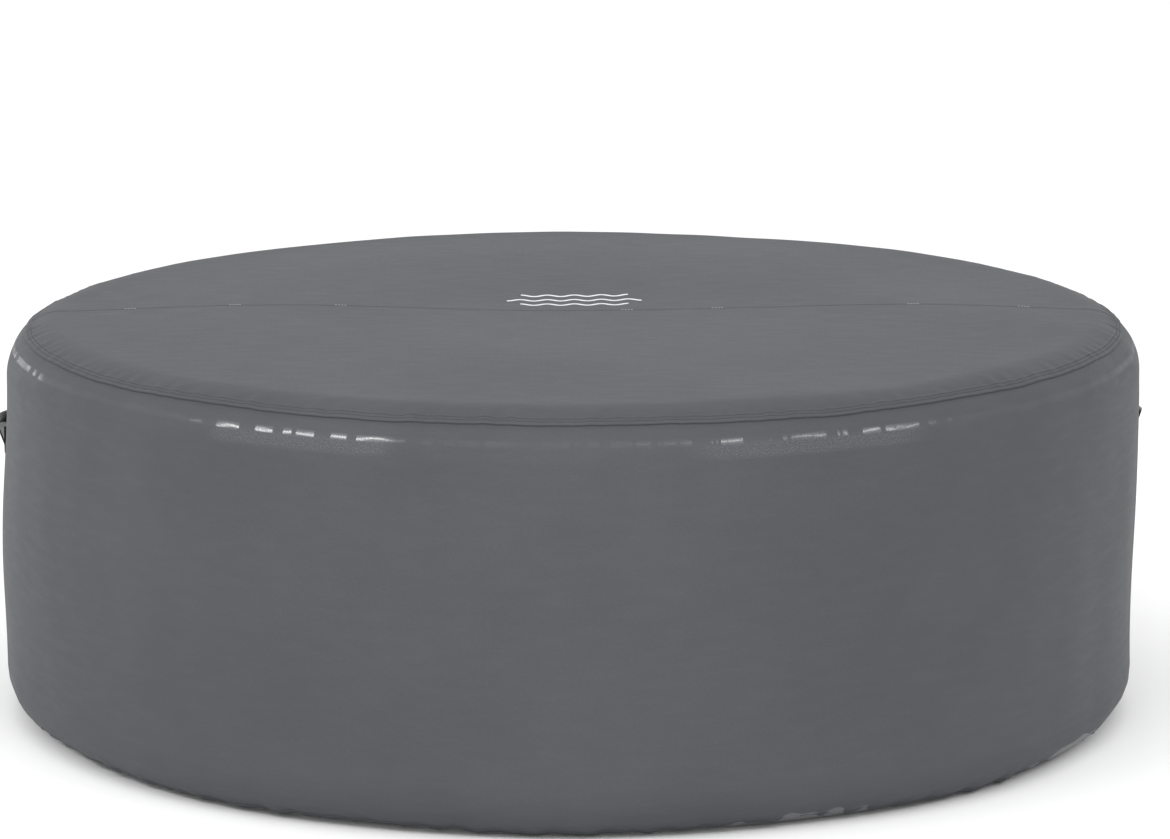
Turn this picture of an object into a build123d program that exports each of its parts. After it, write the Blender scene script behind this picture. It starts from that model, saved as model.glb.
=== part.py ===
from build123d import *
import math
import os

# Round inflatable hot tub: an air-filled wall round a padded floor, a full-height insulated cover
# with an air-filled lid cushion, and the pump and heater unit that stands behind it.
#
# Frame: millimetres, +Z up, origin at the centre of the tub's underside on the floor.
# The pump unit is on +Y, the two lifting handles are at -X and +X.

# ---------------------------------------------------------------- driving dimensions: the tub
TUB_RADIUS = 980.0  # outside of the inflated wall
TUB_HEIGHT = 692.0
WALL_WIDTH = 255.0  # inflated wall, inside face to outside face
RIM_RADIUS = 84.0  # outer shoulder of the rim
RIM_INNER_RADIUS = 55.0
FOOT_RADIUS = 30.0  # outer bottom edge
SKIN = 2.0  # welded sheet
WEB_COUNT = 20  # upright webs that tie the inner and outer wall together
WEB_SHEET = 1.5
WEB_BOTTOM = 60.0
WEB_TOP = 604.0
FLOOR_PAD = 14.0
CHANNEL_WIDTH = 50.0  # bubble channel round the floor
CHANNEL_HEIGHT = 40.0
CHANNEL_ROUND = 16.0
NOZZLE_COUNT = 40
NOZZLE_RADIUS = 4.0

# ---------------------------------------------------------------- driving dimensions: the cover
SIDE_GAP = 5.0  # cover lining to tub wall
TOP_GAP = 0.8  # cover lining to tub rim
FOIL = 1.5
FOAM = 6.0
FABRIC = 2.0
CROWN = 7.0  # rise of the cover's top between the rim and the centre
SEAM_RADIUS = 962.0  # where the top panels are sewn to the skirt
PIPING_RADIUS = 3.0
HEM_HEIGHT = 5.0  # lower edge of the hem binding above the floor
BINDING = 1.5
BINDING_WIDTH = 14.0
CUTOUT_WIDTH = 560.0  # opening at the back for the pump's pipes
CUTOUT_HEIGHT = 500.0
CUTOUT_ROUND = 70.0
CUSHION_GAP = 11.0  # lid cushion's pocket to the tub's inside wall
CUSHION_HEIGHT = 86.0
POCKET_SHEET = 1.5
CUSHION_SKIN = 1.5
CUSHION_WEBS = 6
CUSHION_VALVE = 17.0
CUSHION_VALVE_X = 560.0
EMBLEM_Y = 58.0  # three wave lines behind the centre seam
EMBLEM_PITCH = 44.0
EMBLEM_WAVE = 48.0
EMBLEM_SWING = 7.0
EMBLEM_HALVES = [96.0, 120.0, 96.0]  # half-lengths of the lines
EMBLEM_LINE = 4.0
EMBLEM_FILM = 0.6

# ---------------------------------------------------------------- driving dimensions: the handles
HANDLE_HEIGHT = 469.0  # of the line that a handle swings about
HANDLE_TURNS = {"right": 12.0, "left": 7.0}  # degrees that each one sits behind the widest line
HANDLE_SPAN = 230.0  # between its two sewn ends
HANDLE_BULGE = 36.0  # how far a handle bows out
HANDLE_STRAP = 3.0
HANDLE_WIDTH = 48.0
HANDLE_DROOP = 20.0  # degrees below level, at rest
HANDLE_TAPER = 50.0  # length over which each end narrows
HANDLE_ROLL = 5.0  # radius of the rolled end that turns in its loop
HANDLE_FIT = 0.35
LOOP = 2.0  # webbing loop that holds a rolled end
LOOP_LENGTH = 12.0
PATCH = 2.0
PATCH_WIDTH = 52.0
PATCH_HEIGHT = 70.0

# ---------------------------------------------------------------- driving dimensions: wall fittings
PORT_SPACING = 150.0  # water inlet to water outlet
PORT_HEIGHT = 220.0
AIR_HEIGHT = 385.0
WATER_PIPE = 24.0  # outside radius
AIR_PIPE = 18.0
PIPE_WALL = 4.0
PORT_FACE_OUT = 990.0  # flat faces that the lock rings and flanges bear on
PORT_FACE_IN = 711.0
PLATE_HALF_WIDTH = 125.0
PLATE_BOTTOM = 160.0
PLATE_TOP = 430.0
FLANGE = 8.0
FLANGE_RIM = 11.0
LOCK_RING = 12.0
JOINT_Y = 1022.0  # where a wall pipe meets the pump unit's pipe
NUT_LENGTH = 32.0
NUT_RIM = 12.0
NUT_LUGS = 8
RUNNING_FIT = 0.06
ORING = 2.5
VALVE_ANGLE = 11.5  # degrees either side of +Y
VALVE_HEIGHT = 400.0
VALVE_RADIUS = 20.0
VALVE_FLANGE = 33.0
CAP_RADIUS = 24.0
CAP_HEIGHT = 9.0
CAP_GAP = 0.3  # between a cap and the flange under it
CAP_HINGE = 33.0  # from the air valve's axis to its cap's pin
CAP_BARREL = 3.0
CAP_PIN = 1.2
DRAIN_HEIGHT = 84.0
DRAIN_PIPE = 14.0

# ---------------------------------------------------------------- driving dimensions: the filter
FILTER_RADIUS = 60.0
FILTER_WALL = 2.5
FILTER_LENGTH = 128.0
FILTER_SLOTS = 16
CARTRIDGE_RADIUS = 54.0
CARTRIDGE_CORE = 24.0
CARTRIDGE_PLEATS = 30
CARTRIDGE_LENGTH = 112.0
SCREEN_RADIUS = 44.0

# ---------------------------------------------------------------- driving dimensions: the pump unit
PUMP_WIDTH = 390.0
PUMP_DEPTH = 340.0
PUMP_FRONT = 1052.0  # face towards the tub
PUMP_CORNER = 105.0
PUMP_SHELL = 4.0
PUMP_TAPER = 3.0  # degrees
PUMP_CROWN = 42.0
FOOT_HEIGHT = 12.0
TRAY_TOP = 78.0
LID_BOTTOM = 452.0
PUMP_TOP = 520.0
PANEL_LENGTH = 210.0
PANEL_WIDTH = 104.0
PANEL_RECESS = 2.0
PANEL_THICK = 3.0
BUTTON_RADIUS = 9.0
BUTTON_TRAVEL = 1.2
BUTTON_PITCH = 36.0
BUTTON_GAP = 0.3
BUTTON_NAMES = ["power", "heat", "filter", "bubbles"]
VENT_COUNT = 9
VENT_LOW = 300.0
VENT_PITCH = 12.0
VENT_LENGTH = 120.0
GLAND_X = 110.0
GLAND_Z = 130.0
GLAND_RADIUS = 11.0
GLAND_BORE = 4.5
VOLUTE_RADIUS = 60.0
VOLUTE_FRONT = 1112.0
VOLUTE_DEPTH = 42.0
HEATER_RADIUS = 36.0
HEATER_LENGTH = 210.0
HEATING_ROD = 4.0
BLOWER_RADIUS = 72.0
BLOWER_Y = 1212.0
BLOWER_DEPTH = 52.0
BLOWER_BLADES = 16
SHAFT = 6.0  # radius of both motors' shafts
BOARD_Z = 462.0
CHIPS = [(-60, 14, 30, 22, 10), (-14, 20, 18, 18, 5), (34, 18, 36, 20, 14), (72, -14, 20, 30, 8)]

# ---------------------------------------------------------------- worked-out places
INNER_RADIUS = TUB_RADIUS - WALL_WIDTH
FLOOR_TOP = SKIN + FLOOR_PAD
LINING_RADIUS = TUB_RADIUS + SIDE_GAP
COVER_RADIUS = LINING_RADIUS + FOIL + FOAM + FABRIC
COVER_TOP = TUB_HEIGHT + TOP_GAP + FOIL + FOAM + FABRIC + CROWN
DOME_SPAN = TUB_RADIUS - RIM_RADIUS
DOME_RADIUS = (DOME_SPAN**2 + CROWN**2) / (2 * CROWN)
DOME_CENTRE = TUB_HEIGHT + TOP_GAP + CROWN - DOME_RADIUS
POCKET_RADIUS = INNER_RADIUS - CUSHION_GAP
CUSHION_BOTTOM = TUB_HEIGHT - CUSHION_HEIGHT
PUMP_Y = PUMP_FRONT + PUMP_DEPTH / 2
GLAND_Y = PUMP_FRONT + PUMP_DEPTH
DUCT_LOW = FLOOR_TOP + CHANNEL_HEIGHT / 2
DUCT_BACK = INNER_RADIUS + WALL_WIDTH * 0.55
DUCT_BEND = 42.0
HANDLE_PIVOT = COVER_RADIUS + 2.2
LOOP_PLACE = HANDLE_SPAN / 2 + 9.0
WATER_PORTS = {"inlet": -PORT_SPACING / 2, "outlet": PORT_SPACING / 2}
BEYOND = 4000.0  # longer than anything it cuts

parts = {}


# ---------------------------------------------------------------- helpers
def on_section(sketch):
    """A sketch drawn as (radius, height), stood up on the XZ plane."""
    return Plane.XZ * sketch


def revolved(sketch):
    """A (radius, height) sketch turned a full turn about Z."""
    return revolve(on_section(sketch), axis=Axis.Z)


def box_between(low, high):
    """A box from its lowest corner to its highest."""
    size = [h - l for l, h in zip(low, high)]
    centre = [(h + l) / 2 for l, h in zip(low, high)]
    return Pos(*centre) * Box(*size)


def flat_between(low, high):
    """A rectangle from its lowest corner to its highest, as a sketch."""
    size = [h - l for l, h in zip(low, high)]
    centre = [(h + l) / 2 for l, h in zip(low, high)]
    return Pos(*centre) * Rectangle(*size)


def outline(points, radii):
    """A closed sketch with a fillet radius for each point."""
    return make_face(FilletPolyline(*points, radius=radii, close=True))


def rod_y(x, z, y_from, y_to, radius):
    """A round bar along Y."""
    bar = Cylinder(radius, y_to - y_from, align=(Align.CENTER, Align.CENTER, Align.MIN))
    return Pos(x, y_from, z) * Rot(-90, 0, 0) * bar


def tube_y(x, z, y_from, y_to, outer, inner):
    """A round tube along Y."""
    return rod_y(x, z, y_from, y_to, outer) - rod_y(x, z, y_from, y_to, inner)


def at_wall(angle, height, radius=0.0):
    """A place on the tub's wall whose local +Z points outwards, angle in degrees from +Y towards +X."""
    a = math.radians(angle)
    outwards = Vector(math.sin(a), math.cos(a), 0)
    return Location(Plane(origin=outwards * radius + Vector(0, 0, height), x_dir=(0, 0, 1), z_dir=outwards))


def disc(radius, low, high):
    """A round disc between two heights on the local Z axis."""
    return Pos(0, 0, low) * Cylinder(radius, high - low, align=(Align.CENTER, Align.CENTER, Align.MIN))


def ring(outer, inner, low, high):
    """A flat ring between two heights on the local Z axis."""
    return disc(outer, low, high) - disc(inner, low, high)


# ---------------------------------------------------------------- the inflated tub
def wall_section(inset):
    """The inflated wall's cross-section, as a sketch, taken in by a distance on every side."""
    left, right = INNER_RADIUS + inset, TUB_RADIUS - inset
    low, high = inset, TUB_HEIGHT - inset
    return outline(
        [(left, low), (right, low), (right, high), (left, high)],
        [0, FOOT_RADIUS - inset, RIM_RADIUS - inset, RIM_INNER_RADIUS - inset],
    )


def port_bores():
    """Cutters for the three pipes through both faces of the wall."""
    cutters = [rod_y(x, PORT_HEIGHT, 600, BEYOND, WATER_PIPE) for x in WATER_PORTS.values()]
    return cutters + [rod_y(0, AIR_HEIGHT, INNER_RADIUS + WALL_WIDTH / 2, BEYOND, AIR_PIPE)]


def make_tub():
    skin = wall_section(0) - wall_section(SKIN)
    outer_seam = TUB_RADIUS - RIM_RADIUS
    inner_seam = INNER_RADIUS + RIM_INNER_RADIUS
    foot_seam = TUB_RADIUS - FOOT_RADIUS
    upper = TUB_HEIGHT / 2
    outer = (skin & flat_between((outer_seam, upper), (TUB_RADIUS, TUB_HEIGHT))) + (
        skin & flat_between((foot_seam, 0), (TUB_RADIUS, upper))
    )
    rim = skin & flat_between((inner_seam, upper), (outer_seam, TUB_HEIGHT))
    inner = skin & flat_between((INNER_RADIUS, SKIN), (inner_seam, TUB_HEIGHT))
    cutters = port_bores()
    drain = at_wall(VALVE_ANGLE, DRAIN_HEIGHT) * disc(DRAIN_PIPE, 600, TUB_RADIUS + 50)
    valve = at_wall(-VALVE_ANGLE, VALVE_HEIGHT) * disc(VALVE_RADIUS, INNER_RADIUS + 100, TUB_RADIUS + 50)
    duct_hole = rod_y(0, DUCT_LOW, INNER_RADIUS - 5, INNER_RADIUS + 30, AIR_PIPE)
    parts["tub_outer_wall"] = revolved(outer) - cutters - drain - valve
    parts["tub_top_rim"] = revolved(rim)
    parts["tub_inner_wall"] = revolved(inner) - cutters[:2] - drain - duct_hole
    parts["tub_base_sheet"] = disc(foot_seam, 0, SKIN)
    parts["floor_pad"] = disc(INNER_RADIUS, SKIN, FLOOR_TOP)

    plate = box_between(
        (INNER_RADIUS, -WEB_SHEET / 2, WEB_BOTTOM), (TUB_RADIUS, WEB_SHEET / 2, WEB_TOP)
    )
    between_skins = ring(TUB_RADIUS - SKIN, INNER_RADIUS + SKIN, 0, TUB_HEIGHT)
    pitch = 360 / WEB_COUNT
    parts["wall_webs"] = Compound(
        children=[Rot(0, 0, 90 + (i + 0.5) * pitch) * (plate & between_skins) for i in range(WEB_COUNT)]
    )


def make_bubble_channel():
    left, right = INNER_RADIUS - CHANNEL_WIDTH, INNER_RADIUS
    low, high = FLOOR_TOP, FLOOR_TOP + CHANNEL_HEIGHT

    def section(inset):
        return outline(
            [
                (left + inset, low + inset),
                (right - inset, low + inset),
                (right - inset, high - inset),
                (left + inset, high - inset),
            ],
            [0, 0, 0, CHANNEL_ROUND - inset],
        )

    channel = revolved(section(0) - section(SKIN))
    at = (left + CHANNEL_ROUND + right) / 2
    stem = disc(NOZZLE_RADIUS, high - SKIN - 2, high + 1) + disc(NOZZLE_RADIUS + 3, high, high + 1)
    jet = Pos(at, 0, 0) * (stem - disc(NOZZLE_RADIUS / 2, high - SKIN - 3, high + 2))
    hole = Pos(at, 0, 0) * disc(NOZZLE_RADIUS, high - SKIN - 1, high + 1)
    turns = [Rot(0, 0, (i + 0.5) * 360 / NOZZLE_COUNT) for i in range(NOZZLE_COUNT)]
    duct_hole = rod_y(0, DUCT_LOW, INNER_RADIUS - 5, INNER_RADIUS + 5, AIR_PIPE - PIPE_WALL)
    parts["bubble_channel"] = channel - [turn * hole for turn in turns] - duct_hole
    parts["bubble_nozzles"] = Compound(children=[turn * jet for turn in turns])


# ---------------------------------------------------------------- fittings through the wall
def make_wall_fittings():
    bores = port_bores()
    plate = box_between(
        (-PLATE_HALF_WIDTH, INNER_RADIUS, PLATE_BOTTOM), (PLATE_HALF_WIDTH, PORT_FACE_OUT, PLATE_TOP)
    )
    parts["port_plate_outside"] = plate - disc(TUB_RADIUS, 0, TUB_HEIGHT) - bores
    plate = box_between(
        (-PLATE_HALF_WIDTH, PORT_FACE_IN, PLATE_BOTTOM), (PLATE_HALF_WIDTH, TUB_RADIUS, AIR_HEIGHT - 50)
    )
    parts["port_plate_inside"] = (plate & disc(INNER_RADIUS, 0, TUB_HEIGHT)) - bores

    pipes = []
    for x in WATER_PORTS.values():
        pipe = rod_y(x, PORT_HEIGHT, PORT_FACE_IN - FLANGE, JOINT_Y, WATER_PIPE)
        flange = rod_y(x, PORT_HEIGHT, PORT_FACE_IN - FLANGE, PORT_FACE_IN, WATER_PIPE + FLANGE_RIM)
        bore = rod_y(x, PORT_HEIGHT, 600, BEYOND, WATER_PIPE - PIPE_WALL)
        pipes.append(pipe + flange - bore)
    parts["wall_pipes"] = Compound(children=pipes)

    route = FilletPolyline(
        (0, JOINT_Y, AIR_HEIGHT),
        (0, DUCT_BACK, AIR_HEIGHT),
        (0, DUCT_BACK, DUCT_LOW),
        (0, INNER_RADIUS, DUCT_LOW),
        radius=DUCT_BEND,
    )
    start = Plane(origin=(0, JOINT_Y, AIR_HEIGHT), z_dir=(0, -1, 0))
    parts["air_duct"] = sweep(
        start * (Circle(AIR_PIPE) - Circle(AIR_PIPE - PIPE_WALL / 2)), path=route
    )

    pipes = [(x, PORT_HEIGHT, WATER_PIPE) for x in WATER_PORTS.values()] + [(0, AIR_HEIGHT, AIR_PIPE)]
    ring_end = PORT_FACE_OUT + LOCK_RING
    rings = [tube_y(x, z, PORT_FACE_OUT, ring_end, pipe + FLANGE_RIM, pipe) for x, z, pipe in pipes]
    parts["wall_lock_rings"] = Compound(children=rings)


def make_valves():
    # Air valve on the outside wall, with a cap hinged at its upper edge.
    seat = TUB_RADIUS + 1.0
    place = at_wall(-VALVE_ANGLE, VALVE_HEIGHT)
    cap_low = seat + 3 + CAP_GAP
    pin_z = cap_low + CAP_BARREL
    body = disc(VALVE_RADIUS, TUB_RADIUS - 34, seat) + disc(VALVE_FLANGE, seat, seat + 3)
    body -= disc(VALVE_RADIUS - 5, TUB_RADIUS - 40, seat + 4)
    for low, high in ((-10.5, -7.5), (7.5, 10.5)):
        body += box_between((CAP_HINGE - 5, low, seat), (CAP_HINGE + 4, high, pin_z + 4))
    parts["air_valve"] = place * (body + rod_y(CAP_HINGE, pin_z, -9, 9, CAP_PIN))
    cap = disc(CAP_RADIUS, cap_low, cap_low + CAP_HEIGHT)
    cap = fillet(cap.edges().filter_by(GeomType.CIRCLE).group_by(Axis.Z)[-1], 2.5)
    cap += box_between((CAP_RADIUS - 3, -7, cap_low), (CAP_HINGE, 7, pin_z + CAP_BARREL))
    cap += rod_y(CAP_HINGE, pin_z, -7, 7, CAP_BARREL)
    cap += Pos(0, 0, cap_low + CAP_HEIGHT + 2) * Box(6, 26, 4)
    parts["air_valve_cap"] = place * (cap - rod_y(CAP_HINGE, pin_z, -8, 8, CAP_PIN + CAP_GAP))

    # Drain through both skins, with a screw cap outside.
    place = at_wall(VALVE_ANGLE, DRAIN_HEIGHT)
    body = disc(DRAIN_PIPE, INNER_RADIUS - 6, seat + 16) + disc(DRAIN_PIPE + 14, seat, seat + 3)
    body += disc(DRAIN_PIPE + 8, INNER_RADIUS - 6, INNER_RADIUS - 1)
    parts["drain_valve"] = place * (body - disc(DRAIN_PIPE - 3, 600, TUB_RADIUS + 50))
    cap = disc(DRAIN_PIPE + 5, seat + 3.3, seat + 22)
    cap -= disc(DRAIN_PIPE + RUNNING_FIT, seat + 3, seat + 16.5)
    ribs = [
        Rot(0, 0, 30 * i) * (Pos(DRAIN_PIPE + 5, 0, seat + 12.5) * Box(3, 3, 18)) for i in range(12)
    ]
    parts["drain_cap"] = place * cap.fuse(*ribs)


def make_filter():
    x, z = WATER_PORTS["inlet"], PORT_HEIGHT
    wall_end = PORT_FACE_IN - FLANGE
    mouth = wall_end - FILTER_LENGTH
    housing = rod_y(x, z, mouth, wall_end, FILTER_RADIUS)
    housing -= rod_y(x, z, mouth - 1, wall_end - FILTER_WALL, FILTER_RADIUS - FILTER_WALL)
    housing -= rod_y(x, z, 500, 800, WATER_PIPE - PIPE_WALL)
    slot = box_between((FILTER_RADIUS - 8, mouth + 18, -4), (FILTER_RADIUS + 8, wall_end - 16, 4))
    for i in range(FILTER_SLOTS):
        housing -= Pos(x, 0, z) * Rot(0, (i + 0.5) * 360 / FILTER_SLOTS, 0) * slot
    parts["filter_housing"] = housing

    low, high = mouth + 2, mouth + 2 + CARTRIDGE_LENGTH
    tips = []
    for i in range(2 * CARTRIDGE_PLEATS):
        a = math.pi * i / CARTRIDGE_PLEATS
        r = CARTRIDGE_RADIUS if i % 2 else CARTRIDGE_RADIUS - 12
        tips.append((r * math.cos(a), r * math.sin(a)))
    star = make_face(Polyline(*tips, close=True))
    media = Pos(x, low + 5, z) * Rot(-90, 0, 0) * extrude(star, high - low - 10)
    ends = [rod_y(x, z, low, low + 5, CARTRIDGE_RADIUS), rod_y(x, z, high - 5, high, CARTRIDGE_RADIUS)]
    core = rod_y(x, z, low - 1, high + 1, CARTRIDGE_CORE)
    parts["filter_cartridge"] = media.fuse(*ends) - core

    cap = rod_y(x, z, mouth - 10, mouth - 0.3, FILTER_RADIUS + 3)
    cap = fillet(cap.edges().filter_by(GeomType.CIRCLE).group_by(Axis.Y)[0], 4)
    grip = box_between((x - 42, mouth - 22, z - 5), (x + 42, mouth - 9, z + 5))
    parts["filter_cap"] = cap + grip

    # Slotted screen on the outlet, inside the tub.
    x = WATER_PORTS["outlet"]
    screen = rod_y(x, z, wall_end - 16, wall_end, SCREEN_RADIUS)
    screen = fillet(screen.edges().filter_by(GeomType.CIRCLE).group_by(Axis.Y)[0], 10)
    screen -= rod_y(x, z, wall_end - 13.5, wall_end + 1, SCREEN_RADIUS - 11)
    for i in range(-3, 4):
        screen -= box_between((x - 24, 600, z + 8 * i - 2), (x + 24, wall_end - 8, z + 8 * i + 2))
    parts["outlet_screen"] = screen


# ---------------------------------------------------------------- the insulated cover
def cover_region(offset, bottom):
    """The filled cross-section under one layer of the cover, offset outwards from the lining's inside."""
    block = flat_between((0, bottom), (LINING_RADIUS + offset, TUB_HEIGHT + 200))
    dome = Pos(0, DOME_CENTRE) * Circle(DOME_RADIUS + offset)
    region = block & dome
    corner = region.vertices().sort_by(Axis.X)[-2:].sort_by(Axis.Y)[-1]
    return fillet(corner, RIM_RADIUS + offset)


def layer(inner, outer, bottom):
    """One sheet of the cover, as a sketch, between two offsets."""
    return cover_region(outer, bottom) - cover_region(inner, bottom - 50)


def cutout(grow):
    """The opening at the back of the skirt, grown by a margin."""
    half = CUTOUT_WIDTH / 2 + grow
    arch = outline(
        [(-half, -300), (half, -300), (half, CUTOUT_HEIGHT + grow), (-half, CUTOUT_HEIGHT + grow)],
        [0, 0, CUTOUT_ROUND + grow, CUTOUT_ROUND + grow],
    )
    return extrude(Plane.XZ * arch, -BEYOND)


def make_cover():
    foil_out, foam_out = FOIL, FOIL + FOAM
    fabric_out = foam_out + FABRIC
    foot = HEM_HEIGHT + BINDING
    shell = layer(foam_out, fabric_out, foot)
    foam = layer(foil_out, foam_out, foot)
    top_zone = flat_between((0, TUB_HEIGHT / 2), (SEAM_RADIUS, BEYOND))
    opening = cutout(0)

    top = revolved(shell & top_zone)
    front_half = box_between((-BEYOND, -BEYOND, 0), (BEYOND, 0, BEYOND))
    parts["cover_top_front"] = top & front_half
    parts["cover_top_rear"] = top - front_half
    parts["cover_skirt"] = revolved(shell - top_zone) - opening
    parts["cover_top_foam"] = revolved(foam & top_zone)
    parts["cover_skirt_foam"] = revolved(foam - top_zone) - opening
    parts["cover_foil_lining"] = revolved(layer(0, foil_out, foot)) - opening

    # Piping over the seam between the top and the skirt.
    on_seam = cover_region(fabric_out, foot) & flat_between((SEAM_RADIUS, TUB_HEIGHT / 2), (BEYOND, BEYOND))
    seam_height = on_seam.vertices().group_by(Axis.X)[0].sort_by(Axis.Y)[-1].Y
    bead = (Pos(SEAM_RADIUS, seam_height) * Circle(PIPING_RADIUS)) - cover_region(fabric_out, foot)
    parts["cover_piping"] = revolved(bead)

    # Tape round the hem and round the opening.
    all_layers = cover_region(fabric_out, foot) - cover_region(0, foot - 50)
    tape_zone = flat_between(
        (LINING_RADIUS - BINDING, HEM_HEIGHT), (COVER_RADIUS + BINDING, HEM_HEIGHT + BINDING_WIDTH)
    )
    hem = revolved(tape_zone - all_layers) - cutout(BINDING_WIDTH)
    jamb_zone = flat_between(
        (LINING_RADIUS - BINDING, HEM_HEIGHT), (COVER_RADIUS + BINDING, TUB_HEIGHT / 2 + 200)
    )
    jamb = (revolved(jamb_zone) & cutout(BINDING_WIDTH)) - cutout(-BINDING)
    jamb -= revolved(all_layers) - opening
    parts["cover_binding"] = Compound(children=[*hem.solids(), *jamb.solids()])


def make_lid_cushion():
    """Air cushion in a pocket under the cover's top, inside the tub's rim."""
    under_lining = cover_region(0, CUSHION_BOTTOM - POCKET_SHEET)
    cup = under_lining & flat_between((0, 0), (POCKET_RADIUS, BEYOND))
    hollow = cover_region(0, CUSHION_BOTTOM) & flat_between((0, 0), (POCKET_RADIUS - POCKET_SHEET, BEYOND))
    parts["cushion_pocket"] = revolved(cup - hollow)

    radius = POCKET_RADIUS - POCKET_SHEET - 1
    low, high = CUSHION_BOTTOM + 1, TUB_HEIGHT - 1

    def section(inset):
        edge, foot, head = radius - inset, low + inset, high - inset
        return outline([(0, foot), (edge, foot), (edge, head), (0, head)], [0, 30 - inset, 30 - inset, 0])

    cushion = revolved(section(0) - section(CUSHION_SKIN))
    at = Pos(CUSHION_VALVE_X, 0, 0)
    parts["lid_cushion"] = cushion - at * disc(CUSHION_VALVE, 0, low + 5)
    valve = disc(CUSHION_VALVE, low - POCKET_SHEET - 6, low + 14)
    valve += disc(CUSHION_VALVE + 10, low - POCKET_SHEET - 4.5, low - POCKET_SHEET - 1.5)
    valve -= disc(CUSHION_VALVE - 5, low - 2, low + 20)
    parts["cushion_valve"] = at * valve
    parts["cushion_pocket"] -= at * disc(CUSHION_VALVE + 0.5, 0, low)
    web_height = high - low - 2 * CUSHION_SKIN
    webs = []
    for i in range(CUSHION_WEBS):
        r = radius * (i + 1) / (CUSHION_WEBS + 1)
        webs.append(ring(r + WEB_SHEET / 2, r - WEB_SHEET / 2, 0, web_height))
    parts["lid_cushion_webs"] = Pos(0, 0, low + CUSHION_SKIN) * Compound(children=webs)


def wave_line(half_length, y):
    """One wave line as a flat sketch, between two equal splines."""
    steps = 4 * int(half_length // EMBLEM_WAVE)
    stride = 2 * half_length / steps
    ends = []
    edges = Curve()
    for side in (-EMBLEM_LINE / 2, EMBLEM_LINE / 2):
        points = [(stride * i - half_length, y + side + EMBLEM_SWING * (-1) ** i) for i in range(steps + 1)]
        edges += Spline(*points)
        ends.append((points[0], points[-1]))
    for below, above in zip(*ends):
        edges += Line(below, above)
    return make_face(edges)


def make_emblem():
    """Three flat wave lines, a plain decoration, printed just behind the centre seam."""
    lines = []
    for row, half_length in enumerate(EMBLEM_HALVES):
        line = wave_line(half_length, EMBLEM_Y + row * EMBLEM_PITCH)
        lines.append(Pos(0, 0, COVER_TOP) * extrude(line, EMBLEM_FILM))
    parts["cover_emblem"] = Compound(children=lines)


def strap_outline(depth):
    """The strap seen from outside, narrowed towards both ends, as a solid that trims the band."""
    half, tip, wide = HANDLE_SPAN / 2, HANDLE_ROLL, HANDLE_WIDTH / 2
    side = half - HANDLE_TAPER
    points = [(-half, -tip), (-side, -wide), (side, -wide), (half, -tip)]
    points += [(y, -z) for y, z in reversed(points)]
    return extrude(Plane.YZ * make_face(Polyline(*points, close=True)), depth)


def strap(bulge):
    """A handle's webbing, bowed outwards from its turning line, with its two rolled ends."""
    half = HANDLE_SPAN / 2
    arc_radius = (half**2 + bulge**2) / (2 * bulge)
    centre = Pos(bulge - arc_radius, 0)
    band = centre * Circle(arc_radius) - centre * Circle(arc_radius - HANDLE_STRAP)
    band &= flat_between((0, -half), (bulge + 1, half))
    webbing = Pos(0, 0, -HANDLE_WIDTH / 2) * extrude(band, HANDLE_WIDTH) & strap_outline(bulge + 2)
    inner, outer = half - 7, LOOP_PLACE + LOOP_LENGTH / 2 + 1
    for low, high in ((inner, outer), (-outer, -inner)):
        webbing += rod_y(0, 0, low, high, HANDLE_ROLL)
    return webbing


def handle_patch():
    """The patch and webbing loop at one end of a handle."""
    low, high = HANDLE_HEIGHT - PATCH_HEIGHT / 2, HANDLE_HEIGHT + PATCH_HEIGHT / 2
    y_from, y_to = LOOP_PLACE - LOOP_LENGTH / 2, LOOP_PLACE + LOOP_LENGTH / 2
    bore = HANDLE_ROLL + HANDLE_FIT
    sheet = ring(COVER_RADIUS + PATCH, COVER_RADIUS, low, high)
    half = PATCH_WIDTH / 2
    patch = sheet & box_between((0, LOOP_PLACE - half, 0), (BEYOND, LOOP_PLACE + half, BEYOND))
    inner = HANDLE_PIVOT - bore - LOOP
    foot = box_between((inner, y_from, HANDLE_HEIGHT - bore), (HANDLE_PIVOT, y_to, HANDLE_HEIGHT + bore))
    foot -= disc(COVER_RADIUS + PATCH / 2, low, high)
    loop = foot + rod_y(HANDLE_PIVOT, HANDLE_HEIGHT, y_from, y_to, bore + LOOP)
    return patch + loop - rod_y(HANDLE_PIVOT, HANDLE_HEIGHT, y_from - 30, y_to + 30, bore)


def make_handles():
    patch = handle_patch()
    patches = []
    hanging = Pos(HANDLE_PIVOT, 0, HANDLE_HEIGHT) * Rot(0, HANDLE_DROOP, 0) * strap(HANDLE_BULGE)
    for side, turn in (("right", HANDLE_TURNS["right"]), ("left", 180 - HANDLE_TURNS["left"])):
        parts[f"handle_{side}"] = Rot(0, 0, turn) * hanging
        patches += [Rot(0, 0, turn) * patch, Rot(0, 0, turn) * mirror(patch, about=Plane.XZ)]
    parts["handle_patches"] = Compound(children=patches)


# ---------------------------------------------------------------- the pump and heater unit
def pump_block(inset):
    """The unit's outside shape, taken in by a distance on every side."""
    plan = RectangleRounded(PUMP_WIDTH - 2 * inset, PUMP_DEPTH - 2 * inset, PUMP_CORNER - inset)
    height = PUMP_TOP - FOOT_HEIGHT - 2 * inset
    block = extrude(plan, height, taper=PUMP_TAPER)
    block = fillet(block.faces().sort_by(Axis.Z)[-1].edges(), PUMP_CROWN - inset)
    block = fillet(block.faces().sort_by(Axis.Z)[0].edges(), 10 - inset)
    return Pos(0, PUMP_Y, FOOT_HEIGHT + inset) * block


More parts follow.
